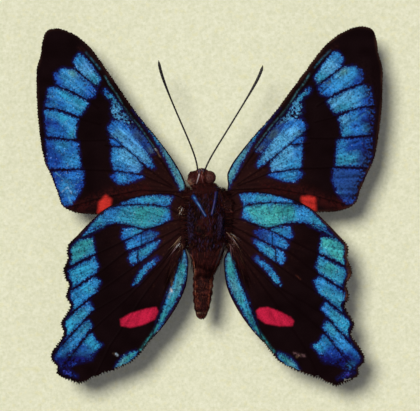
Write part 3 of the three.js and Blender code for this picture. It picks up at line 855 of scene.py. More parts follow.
def scale_sheet(rim, fringe, rng):
    """Even triangles that fill an outline to within a fringe of it, with their middles a little scattered."""
    points, triangles = even_triangles(rim.min(0) - WING_SPACING, rim.max(0) + WING_SPACING)
    kept = depth_inside(points, rim) > fringe(points) - 0.45 * WING_SPACING
    triangles = without_pinches(triangles[kept[triangles].all(1)])
    used, triangles = np.unique(triangles, return_inverse=True)
    points, triangles = points[used], triangles.reshape(-1, 3)
    edge = np.zeros(len(points), bool)
    edge[open_edges(triangles).ravel()] = True
    points = points + rng.uniform(-WING_SCATTER, WING_SCATTER, points.shape) * WING_SPACING * ~edge[:, None]
    points[edge] = points_at_fringe(points[edge], rim, fringe)
    return points, triangles


def points_at_fringe(points, rim, fringe):
    """Points moved to where the fringe begins, straight in from the outline."""
    foot, _ = nearest_on_line(points, rim, closed=True)
    depth = depth_inside(points, rim)
    inward = (points - foot) / np.where(np.abs(depth) < 1e-6, 1e-6, depth)[:, None]
    return foot + inward * fringe(points)[:, None]


def quadratic_terms(points):
    x, y = points[:, 0], points[:, 1]
    return np.stack([np.ones_like(x), x, y, x * x, x * y, y * y], 1)


def wing_pixels(points, side, forewing):
    """Where each point of a wing lies on the left wing of the photo, in pixels."""
    outward, upward = side * points[:, 0], points[:, 1]
    if forewing and side > 0:
        outward = (outward - RIGHT_FOREWING_SHIFT[0]) / RIGHT_FOREWING_STRETCH
        upward = upward - RIGHT_FOREWING_SHIFT[1]
    if not forewing:
        scale = LEFT_HINDWING_SCALE if side < 0 else RIGHT_HINDWING_SCALE
        outward = HINDWING_HUB[0] + (outward - HINDWING_HUB[0]) / scale
        upward = HINDWING_HUB[1] + (upward - HINDWING_HUB[1]) / scale
    return np.stack([
        MIDLINE_PIXEL - outward / MM_PER_PIXEL, MIDHEIGHT_PIXEL - upward / MM_PER_PIXEL], 1)


def blended_tint(pixels, tints):
    """Colours near the tint places, weighted by how close each is."""
    places = np.array([place[:2] for place in tints], float)
    colours = np.array([PAINT[place[2]] for place in tints])
    gaps = ((pixels[:, None] - places[None]) ** 2).sum(-1) + 4
    weights = gaps ** -1.5
    return (weights / weights.sum(1, keepdims=True)) @ colours


def is_red(item):
    return item.tints[0][2] in RED_PAINTS


def paint_red(tones, item, depth, pixels, grain):
    """Lay a red marking over the colours below it, soft at its edge."""
    cover = item.density * smoothstep(-item.edge / 2, item.edge / 2, depth)
    shine = 0.26 + 0.4 * grain["ray"] + 0.25 * grain["thread"] + 0.45 * grain["sparkle"]
    return mix(tones, blended_tint(pixels, item.tints) * shine[:, None], cover)


def paint_blue(tones, item, depth, own_depth, pixels, grain):
    """Lay a blue or green marking's scales over the colours below it, sparser and bluer at its edge."""
    chance = item.density * smoothstep(-item.edge, item.edge, depth)
    cover = smoothstep(grain["luck"] - 0.1, grain["luck"] + 0.1, 1.2 * chance - 0.1)
    cover = cover * (1 - 0.45 * smoothstep(0.22, 0.08, grain["fleck"]))
    bare = grain["sparkle"] < 0.09 + 0.25 * smoothstep(4.0, 0.5, own_depth)
    cover = cover * (1 - 0.8 * bare)
    tint = blended_tint(pixels, item.tints)
    tint = mix(tint, PAINT["cobalt"], 0.4 * smoothstep(0.6, 0.9, grain["drift"]))
    tint = mix(tint, PAINT["teal"], 0.3 * smoothstep(0.4, 0.1, grain["drift"]))
    tint = mix(PAINT["cobalt"], tint, 0.4 + 0.6 * smoothstep(-0.5, 3.0, own_depth))
    # Painted highlight: a few blue scales turned pale as glints
    tint = mix(tint, PAINT["pale"], 0.3 * (grain["sparkle"] > 0.985) * (tint[:, 2] > 0.25))
    # Scale brightness varies along the rays and from scale to scale; the scale-to-scale part is partly a
    # painted sheen
    shine = (-0.15 + 0.45 * grain["ray"] + 0.75 * grain["thread"] + 0.6 * grain["fleck"]
             + 0.5 * grain["sparkle"] + 0.2 * (grain["cloud"] - 0.5))
    return mix(tones, tint * shine[:, None], cover)


def wing_grain(pixels, base, seed):
    """Fixed noises over a wing: single scales, streaks along the wing's rays, and soft clouds."""
    rng = np.random.default_rng(seed)
    x, y = pixels.T
    reach = np.hypot(x - base[0], y - base[1])
    bearing = np.arctan2(y - base[1], x - base[0])
    return {
        "luck": 0.4 * rng.random(len(pixels)) + 0.6 * soft_noise(x / 1.7, y / 1.7, seed + 6),
        "fleck": soft_noise(x / 1.6, y / 1.6, seed + 7),
        "sparkle": rng.random(len(pixels)),
        "reach": reach,
        "outward": (base[0] - x) / np.maximum(reach, 1),
        "ray": soft_noise(reach / 14, bearing * 28, seed),
        "thread": soft_noise(reach / 22, bearing * 90, seed + 3),
        "cloud": soft_noise(x / 9, y / 9, seed + 1),
        "drift": soft_noise(x / 13, y / 13, seed + 4),
        "wobble": 2 * soft_noise(x / 1.5, y / 1.5, seed + 2) - 1,
    }


def ground_tones(grain):
    """The dark scales under the markings, browner towards the wing base."""
    tones = mix(PAINT["black"], PAINT["soot"], 0.7 * grain["cloud"])
    basal = smoothstep(*BASAL_REACH_PIXELS, grain["reach"]) * (0.35 + 0.65 * grain["ray"])
    tones = mix(tones, PAINT["maroon"], basal)
    return mix(tones, PAINT["brown"], 0.5 * basal * (grain["luck"] > 0.8))


def ridge(pixels, line, width):
    """1 on a line, fading to 0 away from it."""
    _, gap = nearest_on_line(pixels, line)
    return np.exp(-(gap / width) ** 2)


def lay_streaks(tones, streaks, pixels, grain):
    """Pale folds, rubbed marks and painted glints, broken up scale by scale."""
    broken = 0.15 + 1.05 * smoothstep(0.35, 0.65, grain["luck"])
    for streak in streaks:
        strength = streak.strength * ridge(pixels, streak.line, streak.width) * broken
        tones = mix(tones, PAINT[streak.tint], np.clip(strength, 0, 1))
    return tones


def wing_tones(pixels, rim_gap, markings, base, rim, seed):
    """The colour of each scale of a wing."""
    patches, veins, streaks = markings
    grain = wing_grain(pixels, base, seed)
    outer = smoothstep(*OUTER_REACH_PIXELS, grain["reach"]) * smoothstep(0.42, 0.62, grain["outward"])
    inside_rim = rim_gap - (rim.near + (rim.far - rim.near) * outer)
    reds, blues = [], []
    for item in patches.values():
        ragged = RED_RAGGEDNESS if is_red(item) else PATCH_RAGGEDNESS
        own_depth = depth_inside(pixels, item.outline) + PATCH_GROWTH + ragged * grain["wobble"]
        group = reds if is_red(item) else blues
        group.append((item, np.minimum(own_depth, inside_rim), own_depth))
    tones = ground_tones(grain)
    for item, depth, _ in blues:
        halo = smoothstep(-HALO_PIXELS, 0.5, depth) * item.density
        tones = mix(tones, PAINT["indigo"], 0.6 * halo * (grain["luck"] < 0.7))
    for item, depth, own_depth in blues:
        tones = paint_blue(tones, item, depth, own_depth, pixels, grain)
    tones = lay_streaks(tones, streaks, pixels, grain)
    for line in veins:
        tones = mix(tones, PAINT["black"], 0.9 * ridge(pixels, line, VEIN_SHADE_PIXELS))
    for item, depth, _ in reds:
        tones = paint_red(tones, item, depth, pixels, grain)
    tones = mix(PAINT["black"], tones, smoothstep(*BLACK_RIM_PIXELS, rim_gap))
    worn = rim.wear * smoothstep(*WORN_RIM_PIXELS, rim_gap) * smoothstep(*WORN_REACH_PIXELS, grain["reach"])
    return mix(tones, PAINT["brown"], worn * grain["cloud"])


def wing_relief(pixels, veins, base, seed):
    """Raised veins and shallow pleats, in millimetres."""
    from_base = pixels - base
    reach = np.hypot(*from_base.T)
    bearing = np.arctan2(from_base[:, 1], from_base[:, 0])
    pleats = soft_noise(reach / 60, bearing * 12, seed) - 0.5
    relief = PLEAT_HEIGHT * pleats * smoothstep(*PLEAT_REACH_PIXELS, reach)
    for line in veins:
        relief = np.maximum(relief, VEIN_HEIGHT * ridge(pixels, line, VEIN_WIDTH_PIXELS))
    return relief


def notch_share(pixels, side):
    """How much of the margin is missing: a small bite in the right hindwing alone."""
    away = np.hypot(pixels[:, 0] - NOTCH_PIXEL[0], pixels[:, 1] - NOTCH_PIXEL[1])
    return np.exp(-(away / NOTCH_RADIUS_PIXELS) ** 2) * (side > 0)


def fringe_depth(side, forewing, base, seed):
    """How deep the hair fringe is at points of a wing: none by the body, and ragged at the margins."""
    deepest = FOREWING_FRINGE if forewing else HINDWING_FRINGE

    def depth(points):
        pixels = wing_pixels(points, side, forewing)
        x, y = pixels.T
        away = pixels - base
        outer = smoothstep(*FRINGE_REACH_PIXELS, np.hypot(*away.T))
        margin = smoothstep(0.2, 0.6, -away[:, 0] / np.hypot(*away.T) + (0.0 if forewing else 0.6))
        ragged = soft_noise(x / 3, y / 3, seed + 5)
        depths = deepest * outer * (0.1 + 0.9 * margin) * (0.4 + 0.8 * ragged)
        if forewing:
            return depths
        depths = depths * smoothstep(*HINDWING_FRINGE_X, x) * smoothstep(*HINDWING_FRINGE_Y, y)
        lower = smoothstep(*LONG_FRINGE_Y, y) * smoothstep(*LONG_FRINGE_X, x)
        return depths * (1 + LONG_FRINGE_EXTRA * lower) + NOTCH_DEPTH * notch_share(pixels, side)

    return depth


def places_on(rim):
    """The length of a closed outline, and a function from lengths along it to places."""
    steps = np.linalg.norm(np.roll(rim, -1, axis=0) - rim, axis=1)
    reach = np.concatenate([[0], np.cumsum(steps)])
    closed_rim = np.concatenate([rim, rim[:1]])

    def on_rim(places):
        return np.stack([np.interp(places, reach, closed_rim[:, axis]) for axis in range(2)], 1)

    return reach[-1], on_rim


def add_fringe(node, rim, fringe, camber, rng):
    """Tufts of short dark hairs from the edge of the scales to the outline of the solid."""
    length, on_rim = places_on(rim)
    places = np.arange(0, length, FRINGE_SPACING)
    places = places + rng.uniform(-0.5, 0.5, len(places)) * FRINGE_SPACING
    depth = fringe(on_rim(places))
    used = (depth > SHORTEST_FRINGE) & (depth < LONGEST_FRINGE)
    places, depth = places[used], depth[used]
    count = len(places)
    ahead = unit(on_rim(places + RIM_PROBE) - on_rim(places - RIM_PROBE))
    inward = np.stack([-ahead[:, 1], ahead[:, 0]], 1)
    tuft = places / TUFT_SPACING + 1.4 * soft_noise(places / 0.9, np.zeros(count), 3)
    off_centre = np.round(tuft) - tuft
    gather = off_centre * TUFT_SPACING * rng.uniform(0.1, 0.8, count)
    shortness = np.clip(1.5 * np.abs(off_centre) + 0.6 * rng.random(count) ** 2 - 0.15, 0, 1)
    root = on_rim(places) + inward * (depth + FRINGE_ROOT)[:, None]
    tip = on_rim(places + gather) + inward * (depth * shortness)[:, None]
    tip = np.where((depth_inside(tip, rim) < 0)[:, None], on_rim(places + gather), tip)
    raised = [np.column_stack([flat, quadratic_terms(flat) @ camber - VEIN_HEIGHT - drop])
              for flat, drop in zip((root, (root + tip) / 2, tip), FRINGE_DROPS)]
    points, triangles = spikes(*raised, rng.uniform(*FRINGE_WIDTHS, count))
    tones = mix(PAINT["black"], PAINT["brown"], RIMS[node].wear * rng.random(count) ** 2)
    add_piece(node + "_fringe", points, triangles, hair_material, "wing_scales", tones=per_hair(tones))


def wing_markings(forewing, side):
    """The patches, veins and streaks of one wing."""
    patches = FOREWING_PATCHES if forewing else HINDWING_PATCHES
    veins = FOREWING_VEINS if forewing else HINDWING_VEINS
    streaks = FOREWING_STREAKS if forewing else HINDWING_STREAKS
    if side < 0:
        return patches, veins, streaks + (LEFT_FOREWING_STREAKS if forewing else LEFT_HINDWING_STREAKS)
    retints = RIGHT_FOREWING_TINTS if forewing else RIGHT_HINDWING_TINTS
    redrawn = RIGHT_FOREWING_OUTLINES if forewing else RIGHT_HINDWING_OUTLINES
    patches = {
        name: item._replace(outline=redrawn.get(name, item.outline), tints=retints.get(name, item.tints))
        for name, item in patches.items()}
    return patches, veins, streaks + (RIGHT_FOREWING_STREAKS if forewing else RIGHT_HINDWING_STREAKS)


def make_wing(node, side, material, seed):
    """The wing's scales and fringe."""
    forewing = node.startswith("forewing")
    base = np.array(FOREWING_BASE_PIXEL if forewing else HINDWING_BASE_PIXEL)
    markings = wing_markings(forewing, side)
    rng = np.random.default_rng(seed)
    solid_points, rim = upper_face(node)
    camber = np.linalg.lstsq(quadratic_terms(solid_points), solid_points[:, 2], rcond=None)[0]
    rim = rounded_loop(rim, RIM_STEPS)
    fringe = fringe_depth(side, forewing, base, seed)
    flat, triangles = scale_sheet(rim, fringe, rng)
    pixels = wing_pixels(flat, side, forewing)
    height = quadratic_terms(flat) @ camber - VEIN_HEIGHT + wing_relief(pixels, markings[1], base, seed)
    upper = np.column_stack([flat, height])
    points = np.concatenate([upper, upper - [0, 0, WING_THICKNESS]])
    wall = side_wall(open_edges(triangles)[:, ::-1], len(flat))
    faces = np.concatenate([triangles, triangles[:, ::-1] + len(flat), wall])
    rim_gap = depth_inside(flat, rim) / MM_PER_PIXEL
    tones = wing_tones(pixels, rim_gap, markings, base, RIMS[node], seed)
    back_tones = mix(PAINT["black"], PAINT["maroon"], soft_noise(flat[:, 0], flat[:, 1], seed))
    both_tones = np.concatenate([tones, back_tones])
    add_piece(node + "_scales", points, faces, material, "wing_scales", (node,), both_tones)
    add_fringe(node, rim, fringe, camber, rng)


# Skins and fur
SKIN_VOXEL = 0.08
HAIR_WIDTHS = (0.035, 0.07)
HAIR_ROOT = 0.03
HAIR_SPREAD = 0.35
DARK_FUR = [("black", 3), ("maroon", 4), ("wine", 3), ("brown", 0.6)]
WARM_FUR = [("wine", 2), ("russet", 4), ("rust", 3), ("straw", 0.3)]
PALE_FUR = [("brown", 2), ("mauve", 2), ("straw", 2), ("white", 0.7)]
PLUM_FUR = [("plum", 3), ("maroon", 3), ("soot", 2)]
NECK_FUR = [("wine", 4), ("maroon", 3)]
COLLAR_FUR = [("wine", 4), ("maroon", 4), ("russet", 1)]
WAIST_FUR = [("wine", 3), ("maroon", 4), ("russet", 1)]
RUMP_FUR = [("wine", 3), ("maroon", 3), ("russet", 2)]
CHEEK_FUR = [("straw", 4), ("rust", 3), ("mauve", 3)]
HEAD_FUR = [("wine", 4), ("maroon", 3), ("russet", 3), ("brown", 1)]
# Fur of each part: number of hairs, their length, the way they lie, tints, seed
Fur = namedtuple("Fur", "count length flow tints seed")
FURS = {
    "thorax": Fur(6500, 0.7, (0, -1, 0.1), DARK_FUR + [("plum", 1.4)], 72),
    "pin_seat": Fur(260, 0.5, (0, -1, 0.1), DARK_FUR, 79),
    "collar": Fur(1200, 0.45, (0, 0.6, 0), COLLAR_FUR, 77),
    "abdomen": Fur(3600, 0.35, (0, -1, 0), DARK_FUR + [("russet", 3), ("rust", 0.8)], 74),
    "head": Fur(1500, 0.32, (0, 0.5, 0.3), HEAD_FUR, 82),
}


def remeshed(points, triangles):
    """A solid's points and triangles made fine and even."""
    mesh = bpy.data.meshes.new("coarse")
    mesh.from_pydata(points.tolist(), [], triangles.tolist())
    coarse = bpy.data.objects.new("coarse", mesh)
    bpy.context.scene.collection.objects.link(coarse)
    remesh = coarse.modifiers.new("fine", "REMESH")
    remesh.mode = "VOXEL"
    remesh.voxel_size = SKIN_VOXEL
    fine = coarse.evaluated_get(bpy.context.evaluated_depsgraph_get()).to_mesh()
    fine.calc_loop_triangles()
    points = np.array([vertex.co for vertex in fine.vertices])
    triangles = np.array([triangle.vertices for triangle in fine.loop_triangles])
    bpy.data.objects.remove(coarse)
    return points, triangles


def smoothed(points, triangles, rounds):
    """Points drawn halfway to the middle of their neighbours, several times."""
    edges = np.unique(np.sort(triangle_edges(triangles), axis=1), axis=0)
    for _ in range(rounds):
        total, count = np.zeros_like(points), np.zeros(len(points))
        for here, there in ((0, 1), (1, 0)):
            np.add.at(total, edges[:, here], points[edges[:, there]])
            np.add.at(count, edges[:, here], 1)
        points = 0.5 * points + 0.5 * total / count[:, None]
    return points


def soft_copy(node, shrink, rounds):
    """A fine, rounded copy of a solid, drawn in a little: its points and triangles."""
    points, triangles = remeshed(*node_mesh(node))
    points = smoothed(points, triangles, rounds)
    return points - shrink * vertex_normals(points, triangles), triangles


def skin_tones(points, dark, light, seed):
    speck = soft_noise(points[:, 0] * 2.4, points[:, 1] * 2.4 + points[:, 2] * 2, seed)
    return mix(PAINT[dark], PAINT[light], smoothstep(0.3, 0.9, speck))


def scattered_on(points, triangles, count, rng):
    """Places spread evenly over a surface, with the surface normals there."""
    first, second, third = (points[triangles[:, i]] for i in range(3))
    areas = np.linalg.norm(np.cross(second - first, third - first), axis=1)
    chosen = rng.choice(len(triangles), count, p=areas / areas.sum())
    along, across = rng.random((2, count, 1))
    folded = along + across > 1
    along, across = np.where(folded, 1 - along, along), np.where(folded, 1 - across, across)
    places = first[chosen] + along * (second - first)[chosen] + across * (third - first)[chosen]
    return places, face_normals(points, triangles)[chosen]


def add_hairs(name, roots, middles, tips, tints, rng):
    """Hairs as one piece; tints are (paint, share) pairs, and share says how many hairs have that paint."""
    count = len(roots)
    points, triangles = spikes(roots, middles, tips, rng.uniform(*HAIR_WIDTHS, count))
    shares = np.array([share for _, share in tints])
    picked = rng.choice(len(tints), count, p=shares / shares.sum())
    tones = np.array([PAINT[tint] for tint, _ in tints])[picked] * rng.uniform(0.6, 1.3, (count, 1))
    add_piece(name, points, triangles, hair_material, "insect_fur", tones=per_hair(tones))


def add_fur(part, skin):
    """Hairs that lie along their flow all over a part's skin."""
    count, length, flow, tints, seed = FURS[part]
    rng = np.random.default_rng(seed)
    roots, normals = scattered_on(*skin, count, rng)
    aim = np.asarray(flow, float)[None] + rng.normal(0, HAIR_SPREAD, (count, 3))
    aim = unit(aim - (aim * normals).sum(1, keepdims=True) * normals)
    lengths = length * rng.uniform(0.5, 1.0, (count, 1))
    middles = roots + lengths * (0.5 * aim + 0.16 * normals)
    tips = roots + lengths * (0.98 * aim + 0.14 * normals)
    add_hairs(part + "_fur", roots - HAIR_ROOT * normals, middles, tips, tints, rng)


# Hair strokes laid over the specimen: roots and tips in photo pixels, spreads of both, number, tints
Stroke = namedtuple("Stroke", "roots tips root_spread tip_spread count tints")
STROKES = [
    Stroke([(191, 192), (187, 205), (187, 248)], [(183, 190), (178, 205), (181, 250)],
           1.5, 2, 1500, DARK_FUR),
    Stroke([(221, 192), (226, 205), (226, 248)], [(230, 191), (236, 205), (231, 252)],
           1.5, 2, 1500, DARK_FUR),
    Stroke([(193, 192), (216, 192)], [(194, 183), (214, 183)], 1.5, 1.5, 700, NECK_FUR),
    Stroke([(192, 252), (221, 252)], [(194, 276), (214, 276)], 2, 2.5, 900, WAIST_FUR),
    Stroke([(221, 254), (217, 264)], [(215, 266), (211.5, 280)], 0.8, 1.0, 160, WARM_FUR),
    Stroke([(192.5, 254), (194.5, 262)], [(195.5, 270), (196, 282)], 0.8, 1.0, 160, WARM_FUR),
    Stroke([(195.5, 278), (197.5, 304)], [(194.5, 286), (197, 312)], 0.7, 0.8, 70, WARM_FUR),
    Stroke([(210.5, 276), (208.5, 302)], [(211.5, 284), (208.5, 310)], 0.7, 0.8, 60, WARM_FUR),
    Stroke([(209.5, 276), (210, 280)], [(212.6, 299), (212.8, 302)],
           0.3, 0.3, 4, [("straw", 2), ("mauve", 1)]),
    Stroke([(189, 213), (191, 236)], [(190, 220), (193, 242)], 2.4, 2.4, 260, PLUM_FUR),
    Stroke([(221, 213), (221, 232)], [(221, 220), (219, 238)], 2.2, 2.2, 240, PLUM_FUR),
    Stroke([(199, 225), (204, 235)], [(199, 228), (204, 238)], 1.8, 1.8, 16, [("straw", 1), ("brown", 2)]),
    Stroke([(197, 260), (215, 260)], [(197, 280), (211, 280)], 1.5, 1.8, 600, RUMP_FUR),
    Stroke([(190, 193), (188, 194)], [(187, 186), (190, 186)], 1.2, 1.2, 200, DARK_FUR),
    Stroke([(191, 194), (189, 196)], [(186, 184), (184, 187)], 1.2, 1.5, 260, DARK_FUR),
    Stroke([(221, 193), (224, 196)], [(222, 187), (226, 187)], 1.2, 1.2, 220, DARK_FUR),
    Stroke([(199, 172), (204, 172)], [(198, 168), (204, 168)], 1.2, 1.2, 70, [("plum", 3), ("straw", 1)]),
    Stroke([(188, 180), (192, 186)], [(190, 182), (193.5, 187)], 1.2, 1.2, 130, CHEEK_FUR),
    Stroke([(225, 245), (225, 248)], [(226, 251), (226, 253)], 0.5, 0.5, 16, [("straw", 2), ("white", 1)]),
    Stroke([(183, 204), (184, 214)], [(179, 210), (180, 219)], 1.8, 2.4, 40, PALE_FUR),
    Stroke([(225, 203), (228, 212)], [(231, 206), (233, 214)], 1.4, 2, 120, WARM_FUR + [("mauve", 4)]),
    Stroke([(185, 233), (183, 239)], [(160, 258), (181, 264)], 0.8, 3.0, 26, PALE_FUR),
    Stroke([(227, 231), (229, 238)], [(249, 252), (231, 264)], 0.8, 3.0, 34, PALE_FUR),
    Stroke([(184, 232), (181, 242)], [(178, 264), (160, 300)], 1.5, 3, 260, DARK_FUR),
    Stroke([(230, 232), (233, 242)], [(236, 264), (254, 300)], 1.5, 3, 260, DARK_FUR),
]
SURFACE_NODES = ["thorax", "abdomen", "head",
                 "forewing_left", "forewing_right", "hindwing_left", "hindwing_right"]
LOWEST_HAIR = 9.9
RAY_START = 40
STROKE_RISES = (-0.12, 0.06, 0.02)
STROKE_BEND = 0.5


def along_line(line, share):
    line = np.asarray(line, float)
    places = np.linspace(0, 1, len(line))
    return np.stack([np.interp(share, places, line[:, axis]) for axis in range(2)], 1)


def specimen_surface():
    points, triangles = joined([node_mesh(node) for node in SURFACE_NODES] + eye_balls())
    return BVHTree.FromPolygons(points.tolist(), triangles.tolist())


def height_at(surface, x, y):
    """The height of the specimen at a place, or nothing beside it."""
    hit = surface.ray_cast(Vector((x, y, RAY_START)), Vector((0, 0, -1)))[0]
    return hit.z if hit else None


def lifted(surface, pixels, rise):
    """Photo pixels as places a little above the specimen."""
    flat = np.stack([pixels[:, 0] - MIDLINE_PIXEL, MIDHEIGHT_PIXEL - pixels[:, 1]], 1) * MM_PER_PIXEL
    heights = [max(height_at(surface, x, y) or 0, LOWEST_HAIR) for x, y in flat]
    return np.column_stack([flat, np.array(heights) + rise])


def add_strokes(surface):
    """Tufts over the joints of the body and the wing bases."""
    rng = np.random.default_rng(90)
    for number, stroke in enumerate(STROKES):
        share = rng.random(stroke.count)
        roots = along_line(stroke.roots, share) + rng.normal(0, stroke.root_spread, (stroke.count, 2))
        tips = along_line(stroke.tips, share) + rng.normal(0, stroke.tip_spread, (stroke.count, 2))
        tips = roots + (tips - roots) * rng.uniform(0.5, 1.0, (stroke.count, 1))
        middles = (roots + tips) / 2 + rng.normal(0, STROKE_BEND, roots.shape)
        places = [lifted(surface, pixels, rise) for pixels, rise in zip((roots, middles, tips), STROKE_RISES)]
        add_hairs(f"tuft_{number}", *places, stroke.tints, rng)


# Legs folded on the thorax: line in photo pixels, radius at both ends, dark tint and painted highlight tint
Leg = namedtuple("Leg", "line thick thin dark light")
LEGS = [
    Leg([(193.5, 196), (200, 206.5), (206, 216.5)], 0.29, 0.17, "cobalt", "sky"),
    Leg([(216.3, 192), (214.6, 203), (211.7, 215.5)], 0.23, 0.15, "indigo", "violet"),
    Leg([(187.5, 247), (192, 257), (196, 269)], 0.2, 0.14, "wine", "rust"),
    Leg([(224, 243), (219.5, 254), (213.5, 268)], 0.22, 0.15, "wine", "rust"),
]
LEG_STEPS = 24
LEG_SIDES = 12
LEG_SINK = 0.9
# Way the painted highlight faces: up and towards the upper left, where the key light is
PAINTED_HIGHLIGHT_WAY = np.array([-0.35, 0.35, 0.87])


def leg_tube(leg, surface):
    """One leg lying on the thorax."""
    share = np.linspace(0, 1, LEG_STEPS)
    radii = leg.thick + (leg.thin - leg.thick) * share
    return tube(lifted(surface, along_line(leg.line, share), -LEG_SINK * radii), radii, LEG_SIDES)


def add_legs(surface):
    """The folded legs, with a painted highlight along their upper left side."""
    parts, tones = [], []
    for number, leg in enumerate(LEGS):
        part = leg_tube(leg, surface)
        # Painted highlight: paler and brighter where the leg faces the key light at the upper left
        painted_highlight = smoothstep(0.88, 0.99, vertex_normals(*part) @ PAINTED_HIGHLIGHT_WAY)
        speck = soft_noise(part[0][:, 0] * 6, part[0][:, 1] * 6, 60 + number)
        tone = mix(PAINT[leg.dark], PAINT[leg.light], 0.8 * painted_highlight * smoothstep(0.3, 0.7, speck))
        tones.append(tone * (0.1 + 0.45 * speck + 0.35 * painted_highlight)[:, None])
        parts.append(part)
    add_piece("legs", *joined(parts), shell_material, "insect_shell", tones=np.concatenate(tones))


# Body
THORAX_SHRINK = 0.12
ABDOMEN_SHRINK = 0.05
COLLAR_CENTRE = np.array([-0.28, 2.0, 10.7])
COLLAR_HALF_SIZE = np.array([1.42, 0.6, 1.1])
PIN_SEAT_HALF_SIZE = np.array([0.7, 0.7, 0.3])
PIN_SEAT_DROP = 0.24
ABDOMEN_RING_PIXEL = 313
ABDOMEN_RING_WIDTH = 0.11


def add_thorax():
    thorax = soft_copy("thorax", THORAX_SHRINK, 6)
    tones = skin_tones(thorax[0], "black", "wine", 71)
    add_piece("thorax_skin", *thorax, hair_material, "insect_fur", ("thorax",), tones)
    add_fur("thorax", thorax)


def add_pin_seat(surface):
    """A low furry swelling that closes round the pin."""
    low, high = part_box("pin")
    x, y = (low.x + high.x) / 2 / MM, (low.y + high.y) / 2 / MM
    top = height_at(surface, x + PIN_SEAT_HALF_SIZE[0], y)
    points, triangles = ball((0, 0, 0), 1.0, 20, 30)
    seat = (points * PIN_SEAT_HALF_SIZE + (x, y, top - PIN_SEAT_DROP), triangles)
    add_piece("pin_seat", *seat, hair_material, "insect_fur", tones=skin_tones(seat[0], "black", "wine", 78))
    add_fur("pin_seat", seat)


def add_collar():
    """A furry ring between the thorax and the head."""
    points, triangles = ball((0, 0, 0), 1.0, 30, 40)
    collar = (points * COLLAR_HALF_SIZE + COLLAR_CENTRE, triangles)
    tones = skin_tones(collar[0], "maroon", "wine", 76)
    add_piece("collar_skin", *collar, hair_material, "insect_fur", tones=tones)
    add_fur("collar", collar)


def add_abdomen():
    """The abdomen, with a pale ring near its tip."""
    abdomen = soft_copy("abdomen", ABDOMEN_SHRINK, 2)
    x, y, _ = abdomen[0].T
    ring_y = (MIDHEIGHT_PIXEL - ABDOMEN_RING_PIXEL) * MM_PER_PIXEL
    ring = np.exp(-((y - ring_y) / ABDOMEN_RING_WIDTH) ** 2)
    tones = skin_tones(abdomen[0], "maroon", "russet", 73)
    tones = mix(tones, PAINT["straw"], 0.7 * ring * soft_noise(x * 3, y * 9, 75))
    add_piece("abdomen_skin", *abdomen, hair_material, "insect_fur", ("abdomen",), tones)
    add_fur("abdomen", abdomen)


def make_body(surface):
    """Furry thorax with its legs, the pin's seat and the collar, and the ringed abdomen."""
    add_thorax()
    add_legs(surface)
    add_pin_seat(surface)
    add_collar()
    add_abdomen()


# Head: eyes as photo pixels and radius; palps as line in photo pixels, radius, dark and light tints
HEAD_SHRINK = 0.06
EYES = [(193.1, 179.9, 0.63), (209.1, 177.6, 0.75)]
EYE_HEIGHT = 10.95
PALPS = [
    ([(199.4, 174), (197.8, 180), (195.6, 187)], 0.08, "mauve", "white"),
    ([(201.3, 175), (202.3, 179), (203.4, 184)], 0.06, "russet", "mauve"),
]
PALP_STEPS = 12
PALP_SIDES = 8
PALP_RISE = 0.02


def eye_balls():
    balls = []
    for x, y, radius in EYES:
        place = ((x - MIDLINE_PIXEL) * MM_PER_PIXEL, (MIDHEIGHT_PIXEL - y) * MM_PER_PIXEL, EYE_HEIGHT)
        balls.append(ball(place, radius, 24, 32))
    return balls


def add_palps(surface):
    """A pair of pale palps on the face."""
    share = np.linspace(0, 1, PALP_STEPS)
    palps, tones = [], []
    for line, radius, dark, light in PALPS:
        middles = lifted(surface, along_line(line, share), PALP_RISE)
        palp = tube(middles, radius * (1.1 - 0.5 * share), PALP_SIDES)
        speck = soft_noise(palp[0][:, 0] * 4, palp[0][:, 1] * 4, 83)
        tones.append(mix(PAINT[dark], PAINT[light], 0.5 * speck))
        palps.append(palp)
    add_piece("palps", *joined(palps), shell_material, "insect_shell", tones=np.concatenate(tones))


def make_head(surface):
    """Furry head with two faceted eyes and a pair of pale palps."""
    head = soft_copy("head", HEAD_SHRINK, 3)
    tones = skin_tones(head[0], "wine", "russet", 81)
    add_piece("head_skin", *head, hair_material, "insect_fur", ("head",), tones)
    add_fur("head", head)
    add_piece("eyes", *joined(eye_balls()), eye_shell, "insect_shell")
    add_palps(surface)


# Antennae
ANTENNA_RINGS = 34
RING_STEPS = 4
RING_PINCH = 0.88
ANTENNA_SIDES = 8
ANTENNA_ROOT = 0.15
SHAFT_RADIUS, CLUB_RADIUS = 0.095, 0.165
POINT_START = 0.97


def make_antenna(node):
    """A ringed shaft that thickens to a pointed club."""
    points, _ = node_mesh(node)
    sideways = np.polyfit(points[:, 1], points[:, 0], 5)
    height = np.polyfit(points[:, 1], points[:, 2], 3)
    share = np.linspace(0, 1, ANTENNA_RINGS * RING_STEPS + 1)
    y = points[:, 1].min() - ANTENNA_ROOT + share * (np.ptp(points[:, 1]) + ANTENNA_ROOT)
    ring = np.arange(len(share)) % RING_STEPS == 0
    club = smoothstep(0.6, 0.9, share) * smoothstep(1.02, 0.94, share)
    radii = (SHAFT_RADIUS + (CLUB_RADIUS - SHAFT_RADIUS) * club) * np.where(ring, RING_PINCH, 1.0)
    radii *= np.where(share > POINT_START, 1.0 - 0.8 * (share - POINT_START) / (1 - POINT_START), 1.0)
    middles = np.column_stack([np.polyval(sideways, y), y, np.polyval(height, y)])
    pale = np.where(ring, 0.08 * smoothstep(0.75, 0.1, share), 0.01)
    tones = mix(PAINT["black"], PAINT["straw"], pale)
    tones = np.concatenate([np.repeat(tones, ANTENNA_SIDES, axis=0), tones[:1], tones[-1:]])
    shape = tube(middles, radii, ANTENNA_SIDES)
    add_piece(node + "_rings", *shape, shell_material, "insect_shell", (node,), tones)


